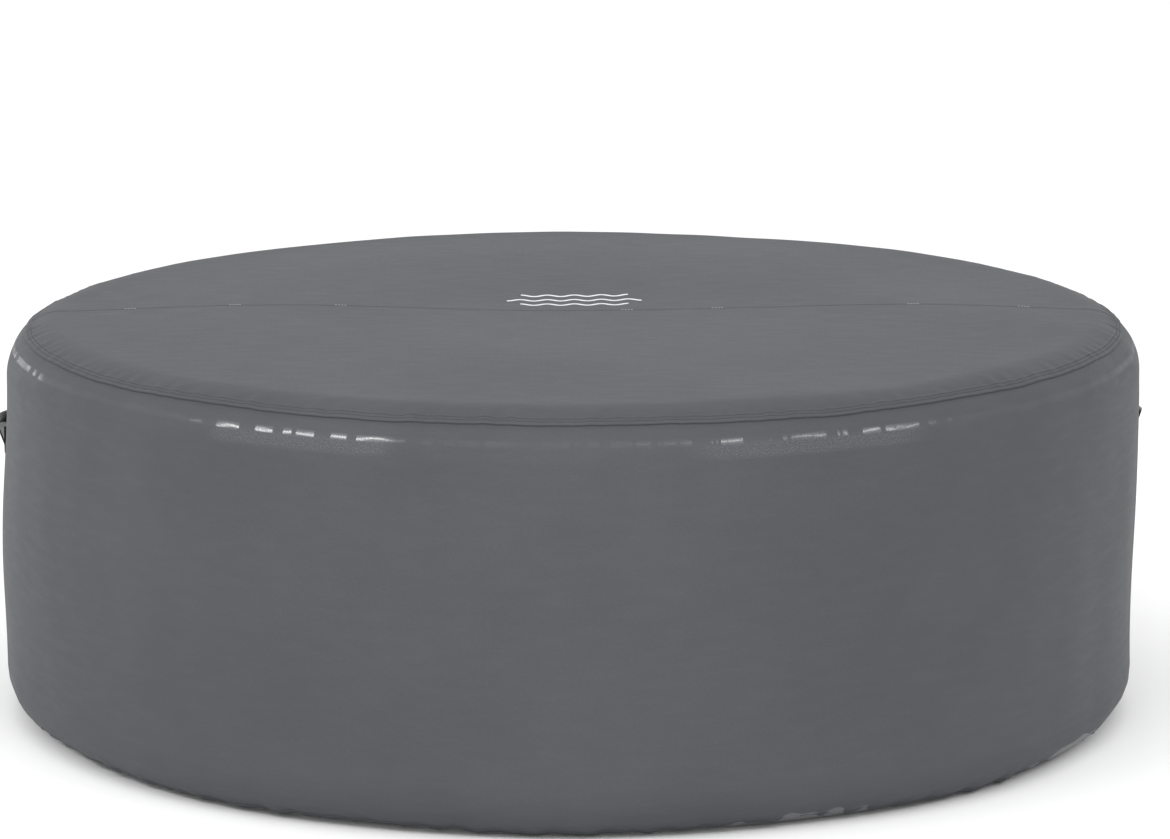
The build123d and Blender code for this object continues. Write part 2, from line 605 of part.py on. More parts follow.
def make_pump_case():
    shell = pump_block(0) - pump_block(PUMP_SHELL)
    for name, x in WATER_PORTS.items():
        shell -= rod_y(x, PORT_HEIGHT, PUMP_FRONT - 50, PUMP_FRONT + 60, WATER_PIPE)
    shell -= rod_y(0, AIR_HEIGHT, PUMP_FRONT - 50, PUMP_FRONT + 60, AIR_PIPE)
    shell -= rod_y(GLAND_X, GLAND_Z, PUMP_Y, BEYOND, GLAND_RADIUS)

    def slice_of(low, high):
        return shell & box_between((-BEYOND, 0, low), (BEYOND, BEYOND, high))

    housing = slice_of(TRAY_TOP, LID_BOTTOM)
    for side in (-1, 1):
        for i in range(VENT_COUNT):
            z = VENT_LOW + i * VENT_PITCH
            louvre = Pos(side * PUMP_WIDTH / 2, PUMP_Y, z) * Box(60, VENT_LENGTH, VENT_PITCH / 2)
            housing -= louvre
    parts["pump_base_tray"] = slice_of(0, TRAY_TOP)
    parts["pump_housing"] = housing
    lid = slice_of(LID_BOTTOM, BEYOND)
    recess = Pos(0, PUMP_Y, PUMP_TOP - PANEL_RECESS) * extrude(
        SlotOverall(PANEL_LENGTH + 1, PANEL_WIDTH + 1), 20
    )
    lid -= recess
    middle = (len(BUTTON_NAMES) - 1) / 2
    row_y = PUMP_Y - PANEL_WIDTH / 5
    places = [Pos((i - middle) * BUTTON_PITCH, row_y, 0) for i in range(len(BUTTON_NAMES))]
    holes = [p * disc(BUTTON_RADIUS + BUTTON_GAP, PUMP_TOP - 20, PUMP_TOP + 20) for p in places]
    parts["pump_top_cover"] = lid - holes
    panel = Pos(0, PUMP_Y, PUMP_TOP - PANEL_RECESS) * extrude(
        SlotOverall(PANEL_LENGTH, PANEL_WIDTH), PANEL_THICK
    )
    parts["control_panel"] = panel - holes
    for name, place in zip(BUTTON_NAMES, places):
        button = disc(BUTTON_RADIUS, PUMP_TOP - PANEL_RECESS, PUMP_TOP + PANEL_THICK - PANEL_RECESS + 1.6)
        button = fillet(button.edges().filter_by(GeomType.CIRCLE).group_by(Axis.Z)[-1], 1.2)
        parts[f"button_{name}"] = place * button

    feet = []
    for sx in (-1, 1):
        for sy in (-1, 1):
            foot = Pos(sx * (PUMP_WIDTH / 2 - 85), PUMP_Y + sy * (PUMP_DEPTH / 2 - 75), 0)
            feet.append(foot * disc(20, 0, FOOT_HEIGHT))
    parts["pump_feet"] = Compound(children=feet)
    gland = rod_y(GLAND_X, GLAND_Z, GLAND_Y - 12, GLAND_Y + 16, GLAND_RADIUS)
    gland += rod_y(GLAND_X, GLAND_Z, GLAND_Y + 2, GLAND_Y + 10, GLAND_RADIUS + 6)
    parts["cable_gland"] = gland - rod_y(GLAND_X, GLAND_Z, GLAND_Y - 20, GLAND_Y + 30, GLAND_BORE)


def make_couplings():
    """Hand nuts that pull the pump unit's pipes against the wall pipes, with their seals."""
    seals = []
    ports = {name: (x, PORT_HEIGHT, WATER_PIPE) for name, x in WATER_PORTS.items()}
    ports["air"] = (0.0, AIR_HEIGHT, AIR_PIPE)
    low = JOINT_Y - NUT_LENGTH / 2 + 2
    for name, (x, z, pipe) in ports.items():
        nut = rod_y(x, z, low, low + NUT_LENGTH, pipe + NUT_RIM)
        for i in range(NUT_LUGS):
            lug = box_between((pipe + NUT_RIM - 3, low, -4), (pipe + NUT_RIM + 3, low + NUT_LENGTH, 4))
            nut += Pos(x, 0, z) * Rot(0, i * 360 / NUT_LUGS, 0) * lug
        nut -= rod_y(x, z, 900, 1200, pipe + RUNNING_FIT)
        parts[f"hand_nut_{name}"] = nut
        wall = PIPE_WALL / 2 if name == "air" else PIPE_WALL
        seals.append(tube_y(x, z, JOINT_Y, JOINT_Y + ORING, pipe, pipe - wall))
    parts["port_seals"] = Compound(children=seals)


def make_water_circuit():
    x_in, x_out, z = WATER_PORTS["inlet"], WATER_PORTS["outlet"], PORT_HEIGHT
    bore = WATER_PIPE - PIPE_WALL
    start = JOINT_Y + ORING
    inlet_pipe = tube_y(x_in, z, start, VOLUTE_FRONT, WATER_PIPE, bore)

    back = VOLUTE_FRONT + VOLUTE_DEPTH
    volute = rod_y(x_in, z, VOLUTE_FRONT, back, VOLUTE_RADIUS)
    volute -= rod_y(x_in, z, VOLUTE_FRONT + 4, back - 4, VOLUTE_RADIUS - 4)
    volute -= rod_y(x_in, z, VOLUTE_FRONT - 1, VOLUTE_FRONT + 5, bore)
    volute -= rod_y(x_in, z, back - 5, back + 1, SHAFT + RUNNING_FIT)
    cross_y = (VOLUTE_FRONT + back) / 2
    cross = Pos(x_in, cross_y, z) * Rot(0, 90, 0) * disc(10, 0, PORT_SPACING)
    volute -= cross
    parts["pump_volute"] = volute

    disc_back = back - 8
    impeller = rod_y(x_in, z, disc_back - 3, disc_back, VOLUTE_RADIUS - 14)
    for i in range(6):
        vane = box_between((SHAFT / 2, VOLUTE_FRONT + 12, -1.5), (VOLUTE_RADIUS - 17, disc_back - 1, 1.5))
        impeller += Pos(x_in, 0, z) * Rot(0, 60 * i, 0) * vane
    impeller += rod_y(x_in, z, VOLUTE_FRONT + 10, back + 20, SHAFT)
    parts["impeller"] = impeller

    motor = rod_y(x_in, z, back, back + 118, 46)
    motor = fillet(motor.edges().filter_by(GeomType.CIRCLE).group_by(Axis.Y)[-1], 8)
    motor -= rod_y(x_in, z, back - 1, back + 24, SHAFT + RUNNING_FIT)
    parts["circulation_motor"] = motor

    heater_front = PUMP_FRONT + 34
    heater = rod_y(x_out, z, heater_front, heater_front + HEATER_LENGTH, HEATER_RADIUS)
    heater -= rod_y(x_out, z, heater_front + 4, heater_front + HEATER_LENGTH - 4, HEATER_RADIUS - 4)
    heater -= rod_y(x_out, z, heater_front - 1, heater_front + 5, bore)
    heater -= cross
    parts["heater_tank"] = heater
    rods = []
    for degrees in (90, 210, 330):
        dx, dz = 14 * math.cos(math.radians(degrees)), 14 * math.sin(math.radians(degrees))
        rod_end = heater_front + HEATER_LENGTH - 4
        rods.append(rod_y(x_out + dx, z + dz, heater_front + 60, rod_end, HEATING_ROD))
    parts["heating_rods"] = Compound(children=rods)
    outlet_pipe = tube_y(x_out, z, start, heater_front, WATER_PIPE, bore)

    link = Pos(x_in, cross_y, z) * Rot(0, 90, 0) * ring(14, 10, 0, PORT_SPACING)
    link -= rod_y(x_in, z, 1000, 1400, VOLUTE_RADIUS)
    link -= rod_y(x_out, z, 1000, 1400, HEATER_RADIUS)
    return [inlet_pipe, outlet_pipe, link]


def make_air_circuit():
    low, high = AIR_HEIGHT - BLOWER_DEPTH / 2, AIR_HEIGHT + BLOWER_DEPTH / 2
    at = Pos(0, BLOWER_Y, 0)
    scroll = disc(BLOWER_RADIUS, low, high) - disc(BLOWER_RADIUS - 4, low + 4, high - 4)
    scroll -= disc(34, high - 5, high + 1)
    scroll -= disc(SHAFT + RUNNING_FIT, low - 1, low + 5)
    scroll = at * scroll
    port = rod_y(0, AIR_HEIGHT, 1000, BLOWER_Y, AIR_PIPE - PIPE_WALL / 2)
    wheel = disc(BLOWER_RADIUS - 18, low + 7, low + 10) + disc(SHAFT, low - 20, low + 30)
    for i in range(BLOWER_BLADES):
        blade = Pos(BLOWER_RADIUS - 24, 0, low + 20) * Box(10, 2, 26)
        wheel += Rot(0, 0, i * 360 / BLOWER_BLADES) * blade
    parts["blower_wheel"] = at * wheel
    motor = disc(36, low - 66, low) - disc(SHAFT + RUNNING_FIT, low - 24, low + 1)
    parts["blower_housing"] = (scroll - port) + at * motor
    start = JOINT_Y + ORING
    tube = tube_y(0, AIR_HEIGHT, start, BLOWER_Y, AIR_PIPE, AIR_PIPE - PIPE_WALL / 2)
    return tube - at * disc(BLOWER_RADIUS, 0, 600)


def make_circuits():
    """The water and air circuits, whose plain pipes are one node."""
    parts["pump_pipes"] = Compound(children=[*make_water_circuit(), make_air_circuit()])


def make_electrics():
    board = Pos(0, PUMP_Y, BOARD_Z) * Box(190, 96, 2)
    face = BOARD_Z + 1
    chips = [Pos(x, PUMP_Y + y, face + h / 2) * Box(w, d, h) for x, y, w, d, h in CHIPS]
    parts["control_board"] = board.fuse(*chips)


def export():
    os.makedirs("parts", exist_ok=True)
    for name, shape in parts.items():
        export_step(shape, f"parts/{name}.step")


make_tub()
make_bubble_channel()
make_wall_fittings()
make_valves()
make_filter()
make_cover()
make_lid_cushion()
make_emblem()
make_handles()
make_pump_case()
make_couplings()
make_circuits()
make_electrics()
export()
print(len(parts), "nodes")
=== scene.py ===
"""Looks of a round inflatable hot tub under its fitted cover, with its pump and heater unit."""

import logging
import math
import random
from dataclasses import dataclass, field
from enum import Enum
from typing import Callable, Sequence

import bpy
import numpy as np
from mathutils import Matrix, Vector


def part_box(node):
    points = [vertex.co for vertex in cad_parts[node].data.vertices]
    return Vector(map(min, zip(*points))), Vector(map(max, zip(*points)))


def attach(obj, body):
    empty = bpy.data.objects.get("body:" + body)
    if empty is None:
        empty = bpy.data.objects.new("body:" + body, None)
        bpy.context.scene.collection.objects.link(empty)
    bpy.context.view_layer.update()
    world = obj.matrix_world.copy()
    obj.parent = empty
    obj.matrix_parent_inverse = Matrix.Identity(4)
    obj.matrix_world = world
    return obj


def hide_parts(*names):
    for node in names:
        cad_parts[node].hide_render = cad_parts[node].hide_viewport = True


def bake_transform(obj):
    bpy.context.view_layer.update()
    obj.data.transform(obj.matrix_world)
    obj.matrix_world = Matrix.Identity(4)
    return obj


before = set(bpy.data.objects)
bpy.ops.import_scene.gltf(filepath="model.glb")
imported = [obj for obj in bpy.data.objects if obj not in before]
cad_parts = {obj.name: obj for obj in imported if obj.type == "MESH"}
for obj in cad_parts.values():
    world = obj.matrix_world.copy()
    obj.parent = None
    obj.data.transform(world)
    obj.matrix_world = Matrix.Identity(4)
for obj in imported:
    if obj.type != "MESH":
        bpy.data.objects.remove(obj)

LOG = logging.getLogger("hot_tub")
TAU = 2 * math.pi
MM = 0.001
Array = np.ndarray
Number = float | int
Pair = tuple[float, float]


# ------------------------------------------------------------------ shader graph
class Value:
    """A number or link in a node tree, with arithmetic that adds Math nodes."""

    def __init__(self, graph: "Graph", socket: bpy.types.NodeSocket) -> None:
        """Wraps an output socket.

        Args:
            graph: the graph that owns the socket.
            socket: the output socket.
        """
        self.graph = graph
        self.socket = socket

    def math(self, operation: str, *others: "Value | Number") -> "Value":
        """Adds a Math node.

        Args:
            operation: Blender's name of the operation.
            others: the second and third operands.

        Returns:
            The node's result.
        """
        return self.graph.node("ShaderNodeMath", {"operation": operation}, dict(enumerate((self, *others))))

    def flipped(self, operation: str, other: Number) -> "Value":
        """Adds a Math node whose first operand is a plain number."""
        return self.graph.node("ShaderNodeMath", {"operation": operation}, {0: other, 1: self})

    def __add__(self, other: "Value | Number") -> "Value":
        """Sum."""
        return self.math("ADD", other)

    def __radd__(self, other: Number) -> "Value":
        """Sum with a plain number on the left."""
        return self.flipped("ADD", other)

    def __sub__(self, other: "Value | Number") -> "Value":
        """Difference."""
        return self.math("SUBTRACT", other)

    def __rsub__(self, other: Number) -> "Value":
        """Difference from a plain number."""
        return self.flipped("SUBTRACT", other)

    def __mul__(self, other: "Value | Number") -> "Value":
        """Product."""
        return self.math("MULTIPLY", other)

    def __rmul__(self, other: Number) -> "Value":
        """Product with a plain number on the left."""
        return self.flipped("MULTIPLY", other)

    def __abs__(self) -> "Value":
        """Size without its sign."""
        return self.math("ABSOLUTE")

    def sin(self) -> "Value":
        """Sine of an angle in radians."""
        return self.math("SINE")

    def most(self, other: "Value | Number") -> "Value":
        """The larger of two."""
        return self.math("MAXIMUM", other)

    def smooth(self, low: Number, high: Number) -> "Value":
        """A soft step.

        Args:
            low: where the result is 0.
            high: where the result is 1.

        Returns:
            The step, from 0 to 1.
        """
        settings = {"interpolation_type": "SMOOTHSTEP"}
        return self.graph.node("ShaderNodeMapRange", settings, {0: self, 1: low, 2: high, 3: 0.0, 4: 1.0})

    def band(self, centre: Number, half: Number, soft: Number) -> "Value":
        """A mask that is 1 near a value.

        Args:
            centre: the middle of the band.
            half: half of its full-strength width.
            soft: the width over which it fades.

        Returns:
            The mask, from 0 to 1.
        """
        return 1 - abs(self - centre).smooth(half, half + soft)


class Graph:
    """A material and its node tree."""

    def __init__(self, name: str) -> None:
        """Starts an empty material.

        Args:
            name: the material's name.
        """
        self.material = bpy.data.materials.new(name)
        self.material.use_nodes = True
        self.tree = self.material.node_tree
        self.tree.nodes.clear()

    def node(
        self,
        kind: str,
        settings: dict[str, object] | None = None,
        inputs: dict[int | str, object] | None = None,
        output: int | str = 0,
    ) -> Value:
        """Adds any node.

        Args:
            kind: the node's type.
            settings: attributes, set first.
            inputs: values or links of its sockets.
            output: which of its outputs to return.

        Returns:
            The chosen output.
        """
        made = self.tree.nodes.new(kind)
        for key, value in (settings or {}).items():
            setattr(made, key, value)
        for key, value in (inputs or {}).items():
            if isinstance(value, Value):
                self.tree.links.new(value.socket, made.inputs[key])
            else:
                made.inputs[key].default_value = value
        return Value(self, made.outputs[output])

    def place(self) -> Value:
        """The point's place on its own piece, in metres."""
        return self.node("ShaderNodeTexCoord", output="Object")

    def cloth(self) -> Value:
        """The point's place on the flat cut, in metres."""
        return self.node("ShaderNodeUVMap", {"uv_map": CLOTH_MAP})

    def split(self, vector: Value) -> tuple[Value, Value, Value]:
        """The three parts of a vector."""
        made = self.tree.nodes.new("ShaderNodeSeparateXYZ")
        self.tree.links.new(vector.socket, made.inputs[0])
        return tuple(Value(self, made.outputs[i]) for i in range(3))

    def stretched(self, vector: Value, by: Sequence[float]) -> Value:
        """A vector scaled part by part."""
        return self.node("ShaderNodeVectorMath", {"operation": "MULTIPLY"}, {0: vector, 1: tuple(by)})

    def noise(self, vector: Value, scale: float, detail: float = 2.0, roughness: float = 0.5) -> Value:
        """Soft noise.

        Args:
            vector: where it is read.
            scale: features per metre.
            detail: octaves.
            roughness: how strong the finer octaves are.

        Returns:
            The noise, near 0.5.
        """
        inputs = {"Vector": vector, "Scale": scale, "Detail": detail, "Roughness": roughness}
        return self.node("ShaderNodeTexNoise", None, inputs)

    def cells(self, vector: Value, scale: float, feature: str = "F1") -> Value:
        """Voronoi cells' distance.

        Args:
            vector: where it is read.
            scale: cells per metre.
            feature: which distance.

        Returns:
            The distance.
        """
        inputs = {"Vector": vector, "Scale": scale}
        return self.node("ShaderNodeTexVoronoi", {"feature": feature}, inputs, "Distance")

    def mix(self, factor: Value | Number, low: object, high: object) -> Value:
        """A blend of two colours.

        Args:
            factor: 0 gives low, 1 gives high.
            low: a colour or link.
            high: a colour or link.

        Returns:
            The blended colour.
        """
        pair = {i: (*c[:3], 1.0) if isinstance(c, tuple) else c for i, c in ((6, low), (7, high))}
        return self.node("ShaderNodeMix", {"data_type": "RGBA"}, {0: factor, **pair}, 2)

    def bump(self, height: Value, depth: float, strength: float = 1.0, normal: Value | None = None) -> Value:
        """A bumped normal.

        Args:
            height: from 0 to 1.
            depth: metres between 0 and 1.
            strength: how much of it shows.
            normal: a normal under it.

        Returns:
            The normal.
        """
        inputs = {"Strength": strength, "Distance": depth, "Height": height}
        if normal is not None:
            inputs["Normal"] = normal
        return self.node("ShaderNodeBump", None, inputs)

    def finish(self, sockets: dict[str, object]) -> bpy.types.Material:
        """Adds the surface shader.

        Args:
            sockets: values and links of the Principled node.

        Returns:
            The material.
        """
        shader = self.node("ShaderNodeBsdfPrincipled", None, sockets)
        output = self.tree.nodes.new("ShaderNodeOutputMaterial")
        self.tree.links.new(shader.socket, output.inputs["Surface"])
        return self.material


CLOTH_MAP = "cloth"
Colour = tuple[float, float, float]


def shade(colour: Colour, by: float) -> Colour:
    """A colour made lighter or darker."""
    return tuple(min(1.0, c * by) for c in colour)


# ------------------------------------------------------------------ finishes
@dataclass(frozen=True)
class Weave:
    """Thread pattern of a woven cloth."""

    pitch: float = 0.0012
    depth: float = 0.00008

    def height(self, g: Graph, cloth: Value) -> Value:
        """Over-and-under height of the threads.

        Args:
            g: the graph.
            cloth: the place on the flat cut.

        Returns:
            A height from 0 to 1.
        """
        u, v, _ = g.split(cloth)
        turn = math.pi / self.pitch
        across = abs((u * turn).sin())
        along = abs((v * turn).sin())
        over = ((u * (0.5 * turn)).sin() * (v * (0.5 * turn)).sin()).smooth(-0.2, 0.2)
        return across * over + along * (1 - over)


@dataclass(frozen=True)
class CoatedFabric:
    """Polyurethane-coated woven cover fabric, smooth and faintly glossy where it is drawn tight; when given a
    gloss height it also gets a painted highlight, a paler colour just under that glossy line.
    """

    name: str = "cover_fabric"
    colour: Colour = (0.060, 0.0628, 0.0695)
    weave: Weave = Weave()
    gloss_height: float = 0.0
    gloss_width: float = 0.0032

    def build(self) -> bpy.types.Material:
        """Makes the material."""
        g = Graph(self.name)
        place, cloth = g.place(), g.cloth()
        broad = g.noise(place, 3.2, 3, 0.55).smooth(0.3, 0.7)
        grain = g.noise(g.stretched(cloth, (150, 420, 1)), 1.0, 3, 0.7).smooth(0.30, 0.70)
        rubbed = g.noise(g.stretched(cloth, (14, 60, 1)), 1.0, 4, 0.6).smooth(0.35, 0.8)
        tone = broad * 0.30 + grain * 0.50 + rubbed * 0.20
        base = g.mix(tone, shade(self.colour, 0.86), shade(self.colour, 1.15))
        rough = 0.54 + grain * 0.12 - rubbed * 0.05
        coat: Value | float = 0.0
        creases = g.noise(g.stretched(cloth, (46, 150, 1)), 1.0, 3, 0.55)
        if self.gloss_height:
            _, _, z = g.split(place)
            wave = g.noise(g.stretched(cloth, (7, 0.2, 1)), 1.0, 2, 0.5)
            tight = (z + (wave - 0.5) * 0.003).band(self.gloss_height, self.gloss_width, 0.003)
            dashes = g.noise(g.stretched(cloth, (46, 0.5, 1)), 1.0, 1, 0.5).smooth(0.455, 0.485)
            patches = g.noise(g.stretched(cloth, (2.2, 0.4, 1)), 1.0, 2, 0.5).smooth(0.34, 0.46)
            # Painted highlight: noise for a paler colour in a band just under the glossy line.
            painted_highlight_noise = g.noise(g.stretched(cloth, (420, 420, 1)), 1.0, 2, 0.6).smooth(0.45, 0.62)
            painted_highlight_band = z.band(self.gloss_height - 0.014, 0.006, 0.010)
            u, _, _ = g.split(cloth)
            # Stretches round the tub that the strip lights' highlights reach; they set the coat gloss and the
            # strength of the painted highlight.
            front = u.band(-0.465, 0.14, 0.04).most(u.band(0.40, 0.15, 0.08))
            gloss_and_painted_highlight_zone = 0.10 + front.most(u.band(-1.27, 0.09, 0.05) * 0.5) * 0.9
            coat = tight * dashes * patches * gloss_and_painted_highlight_zone
            # Painted highlight: the base colour is lightened there, standing in for the pale glow round the
            # strip lights' highlights.
            base = g.mix(painted_highlight_noise * painted_highlight_band * (gloss_and_painted_highlight_zone - 0.10) * 0.55, base, shade(self.colour, 2.1))
            rough = rough - tight * 0.06
        normal = g.bump(self.weave.height(g, cloth), self.weave.depth, 0.35)
        normal = g.bump(creases, 0.0007, 0.30, normal)
        return g.finish(
            {
                "Base Color": base,
                "Roughness": rough,
                "Normal": normal,
                "Coat Weight": coat,
                "Coat Roughness": 0.13,
                "Specular IOR Level": 0.22,
            }
        )


@dataclass(frozen=True)
class Webbing:
    """Ribbed woven strap or tape."""

    name: str
    colour: Colour = (0.012, 0.012, 0.013)
    pitch: float = 0.0016

    def build(self) -> bpy.types.Material:
        """Makes the material."""
        g = Graph(self.name)
        u, v, _ = g.split(g.cloth())
        rib = abs(((u + v * 0.5) * (math.pi / self.pitch)).sin()) * abs((v * (math.pi / self.pitch)).sin())
        fuzz = g.noise(g.place(), 900, 2)
        base = g.mix(rib * 0.6 + fuzz * 0.4, shade(self.colour, 0.6), shade(self.colour, 1.9))
        return g.finish(
            {
                "Base Color": base,
                "Roughness": 0.62 + fuzz * 0.2,
                "Normal": g.bump(rib, 0.00035, 0.8),
                "Sheen Weight": 0.25,
                "Sheen Roughness": 0.4,
            }
        )


@dataclass(frozen=True)
class Thread:
    """Twisted polyester sewing thread."""

    name: str
    colour: Colour = (0.085, 0.087, 0.092)

    def build(self) -> bpy.types.Material:
        """Makes the material."""
        g = Graph(self.name)
        x, y, z = g.split(g.place())
        twist = abs(((x + y + z) * 2600).sin())
        base = g.mix(twist, shade(self.colour, 0.55), shade(self.colour, 1.3))
        normal = g.bump(twist, 0.0001, 0.6)
        return g.finish({"Base Color": base, "Roughness": 0.5 + twist * 0.15, "Normal": normal})


@dataclass(frozen=True)
class Foil:
    """Crinkled metallised film over foam."""

    name: str = "foil_lining"
    colour: Colour = (0.70, 0.71, 0.73)

    def build(self) -> bpy.types.Material:
        """Makes the material."""
        g = Graph(self.name)
        place = g.place()
        crinkle = g.cells(place, 34)
        fine = g.noise(place, 160, 3, 0.6)
        quilt = g.cells(place, 11, "DISTANCE_TO_EDGE").smooth(0.0, 0.05)
        base = g.mix(crinkle * 0.5 + fine * 0.5, shade(self.colour, 0.78), shade(self.colour, 1.08))
        height = crinkle * 0.5 + fine * 0.2 + quilt * 0.3
        return g.finish(
            {
                "Base Color": base,
                "Metallic": 0.55 + fine * 0.3,
                "Roughness": 0.26 + crinkle * 0.2,
                "Normal": g.bump(height, 0.0016, 0.7),
            }
        )


@dataclass(frozen=True)
class Vinyl:
    """Laminated sheet with a fine pressed leather grain."""

    name: str
    colour: Colour
    grain: float = 420.0
    depth: float = 0.00025
    gloss: float = 0.42
    marbled: float = 0.0

    def build(self) -> bpy.types.Material:
        """Makes the material."""
        g = Graph(self.name)
        place = g.place()
        pebble = g.cells(place, self.grain)
        soft = g.noise(place, 5, 3)
        fine = g.noise(place, self.grain * 2, 2)
        tone = soft * 0.6 + pebble * 0.25 + fine * 0.15
        base = g.mix(tone, shade(self.colour, 0.86), shade(self.colour, 1.12))
        if self.marbled:
            veins = g.noise(place, 9, 6, 0.65).smooth(0.48, 0.60)
            base = g.mix(veins * self.marbled, base, shade(self.colour, 1.55))
        return g.finish(
            {
                "Base Color": base,
                "Roughness": self.gloss + soft * 0.08 - pebble * 0.06,
                "Normal": g.bump(pebble * 0.7 + fine * 0.3, self.depth, 0.6),
                "Specular IOR Level": 0.5,
            }
        )


@dataclass(frozen=True)
class Moulded:
    """Injection-moulded plastic or rubber with a spark-eroded texture."""

    name: str
    colour: Colour
    gloss: float = 0.45
    texture: float = 1100.0
    depth: float = 0.00006
    metallic: float = 0.0
    coat: float = 0.0

    def build(self) -> bpy.types.Material:
        """Makes the material."""
        g = Graph(self.name)
        place = g.place()
        spark = g.noise(place, self.texture, 3, 0.6)
        flow = g.noise(place, 18, 3, 0.5)
        dust = g.noise(place, 60, 5, 0.65).smooth(0.5, 0.8)
        base = g.mix(flow * 0.6 + spark * 0.4, shade(self.colour, 0.90), shade(self.colour, 1.10))
        base = g.mix(dust * 0.08, base, (0.45, 0.44, 0.42))
        return g.finish(
            {
                "Base Color": base,
                "Roughness": self.gloss + spark * 0.08 + dust * 0.08,
                "Metallic": self.metallic,
                "Normal": g.bump(spark, self.depth, 0.7),
                "Coat Weight": self.coat,
                "Coat Roughness": 0.08,
            }
        )


@dataclass(frozen=True)
class Pleated:
    """Pleated filter paper."""

    name: str = "filter_paper"
    colour: Colour = (0.80, 0.82, 0.84)

    def build(self) -> bpy.types.Material:
        """Makes the material."""
        g = Graph(self.name)
        place = g.place()
        fibre = g.noise(g.stretched(place, (900, 300, 900)), 1.0, 3, 0.6)
        stain = g.noise(place, 22, 4, 0.6).smooth(0.45, 0.75)
        base = g.mix(fibre, shade(self.colour, 0.88), shade(self.colour, 1.08))
        base = g.mix(stain * 0.25, base, (0.62, 0.60, 0.52))
        return g.finish({"Base Color": base, "Roughness": 0.85, "Normal": g.bump(fibre, 0.0002, 0.6)})


# ------------------------------------------------------------------ mesh kit
def rotated_about_z(points: Array, angle: float) -> Array:
    """Points turned about the vertical axis.

    Args:
        points: an array whose last axis is x, y, z.
        angle: radians, by the right-hand rule.

    Returns:
        The turned points.
    """
    c, s = math.cos(angle), math.sin(angle)
    return points @ np.array([[c, s, 0], [-s, c, 0], [0, 0, 1.0]])


def quad_corners(row: Array, column: Array, after: Array, wide: int) -> Array:
    """Corner numbers of the quads of a grid.

    Args:
        row: each quad's row.
        column: each quad's column.
        after: the column after it.
        wide: columns of points in a row.

    Returns:
        Four point numbers for each quad.
    """
    low, high = row * wide, (row + 1) * wide
    return np.stack([low + column, low + after, high + after, high + column], 1)


@dataclass
class MeshData:
    """Points, faces and flat places that become one piece."""

    points: list[Array] = field(default_factory=list)
    faces: list[Array] = field(default_factory=list)
    maps: list[Array] = field(default_factory=list)
    count: int = 0

    def add_grid(
        self, grid: Array, closed: bool = False, cloth: Array | None = None, flip: bool = False
    ) -> None:
        """Adds a grid of quads.

        Args:
            grid: points as [rows, columns, 3].
            closed: whether the last column joins the first.
            cloth: flat places as [rows, columns (+1 if closed), 2], in metres.
            flip: whether the faces look the other way.
        """
        rows, columns = grid.shape[:2]
        spans = columns if closed else columns - 1
        row, column = np.meshgrid(np.arange(rows - 1), np.arange(spans), indexing="ij")
        row, column = row.ravel(), column.ravel()
        quads = quad_corners(row, column, (column + 1) % columns, columns)
        if cloth is None:
            steps = np.linalg.norm(np.diff(grid, axis=0), axis=2).mean(1)
            lengths = np.concatenate([[0], np.cumsum(steps)])
            ring = grid[rows // 2]
            sides = np.linalg.norm(np.diff(np.vstack([ring, ring[:1]]), axis=0), axis=1)
            around = np.concatenate([[0], np.cumsum(sides)])
            u, v = np.meshgrid(around[: spans + 1], lengths)
            cloth = np.stack([u, v], 2)
        flat = cloth.reshape(-1, 2)
        corners = quad_corners(row, column, column + 1, cloth.shape[1])
        if flip:
            quads, corners = quads[:, ::-1], corners[:, ::-1]
        self.points.append(grid.reshape(-1, 3))
        self.faces.append(quads + self.count)
        self.maps.append(flat[corners])
        self.count += rows * columns

    def piece(
        self, name: str, material: bpy.types.Material, body: str | None = None, slot: str | None = None
    ) -> bpy.types.Object:
        """Makes the Blender object.

        Args:
            name: the piece's name.
            material: its finish.
            body: the CAD body it rides on, if it rides on one.
            slot: not used.

        Returns:
            The object.
        """
        points = np.concatenate(self.points).astype(np.float32)
        faces = np.concatenate(self.faces)
        mesh = bpy.data.meshes.new(name)
        mesh.vertices.add(len(points))
        mesh.vertices.foreach_set("co", points.ravel())
        mesh.loops.add(faces.size)
        mesh.loops.foreach_set("vertex_index", faces.astype(np.int32).ravel())
        mesh.polygons.add(len(faces))
        mesh.polygons.foreach_set("loop_start", np.arange(0, faces.size, faces.shape[1], dtype=np.int32))
        mesh.polygons.foreach_set("use_smooth", np.ones(len(faces), bool))
        layer = mesh.uv_layers.new(name=CLOTH_MAP)
        layer.uv.foreach_set("vector", np.concatenate(self.maps).astype(np.float32).ravel())
        mesh.update(calc_edges=True)
        mesh.validate()
        mesh.materials.append(material)
        made = bpy.data.objects.new(name, mesh)
        bpy.context.scene.collection.objects.link(made)
        if body:
            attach(made, body)
        return made


def lathe(profile: Sequence[Pair], segments: int) -> Array:
    """A turned surface.

    Args:
        profile: (radius, height) points in metres.
        segments: columns round the axis.

    Returns:
        A grid of points as [rows, columns, 3].
    """
    line = np.array(profile, float)
    angles = np.linspace(0, TAU, segments, endpoint=False)
    r, z = line[:, 0][:, None], line[:, 1][:, None]
    return np.stack([r * np.sin(angles), -r * np.cos(angles), np.repeat(z, segments, 1)], 2)


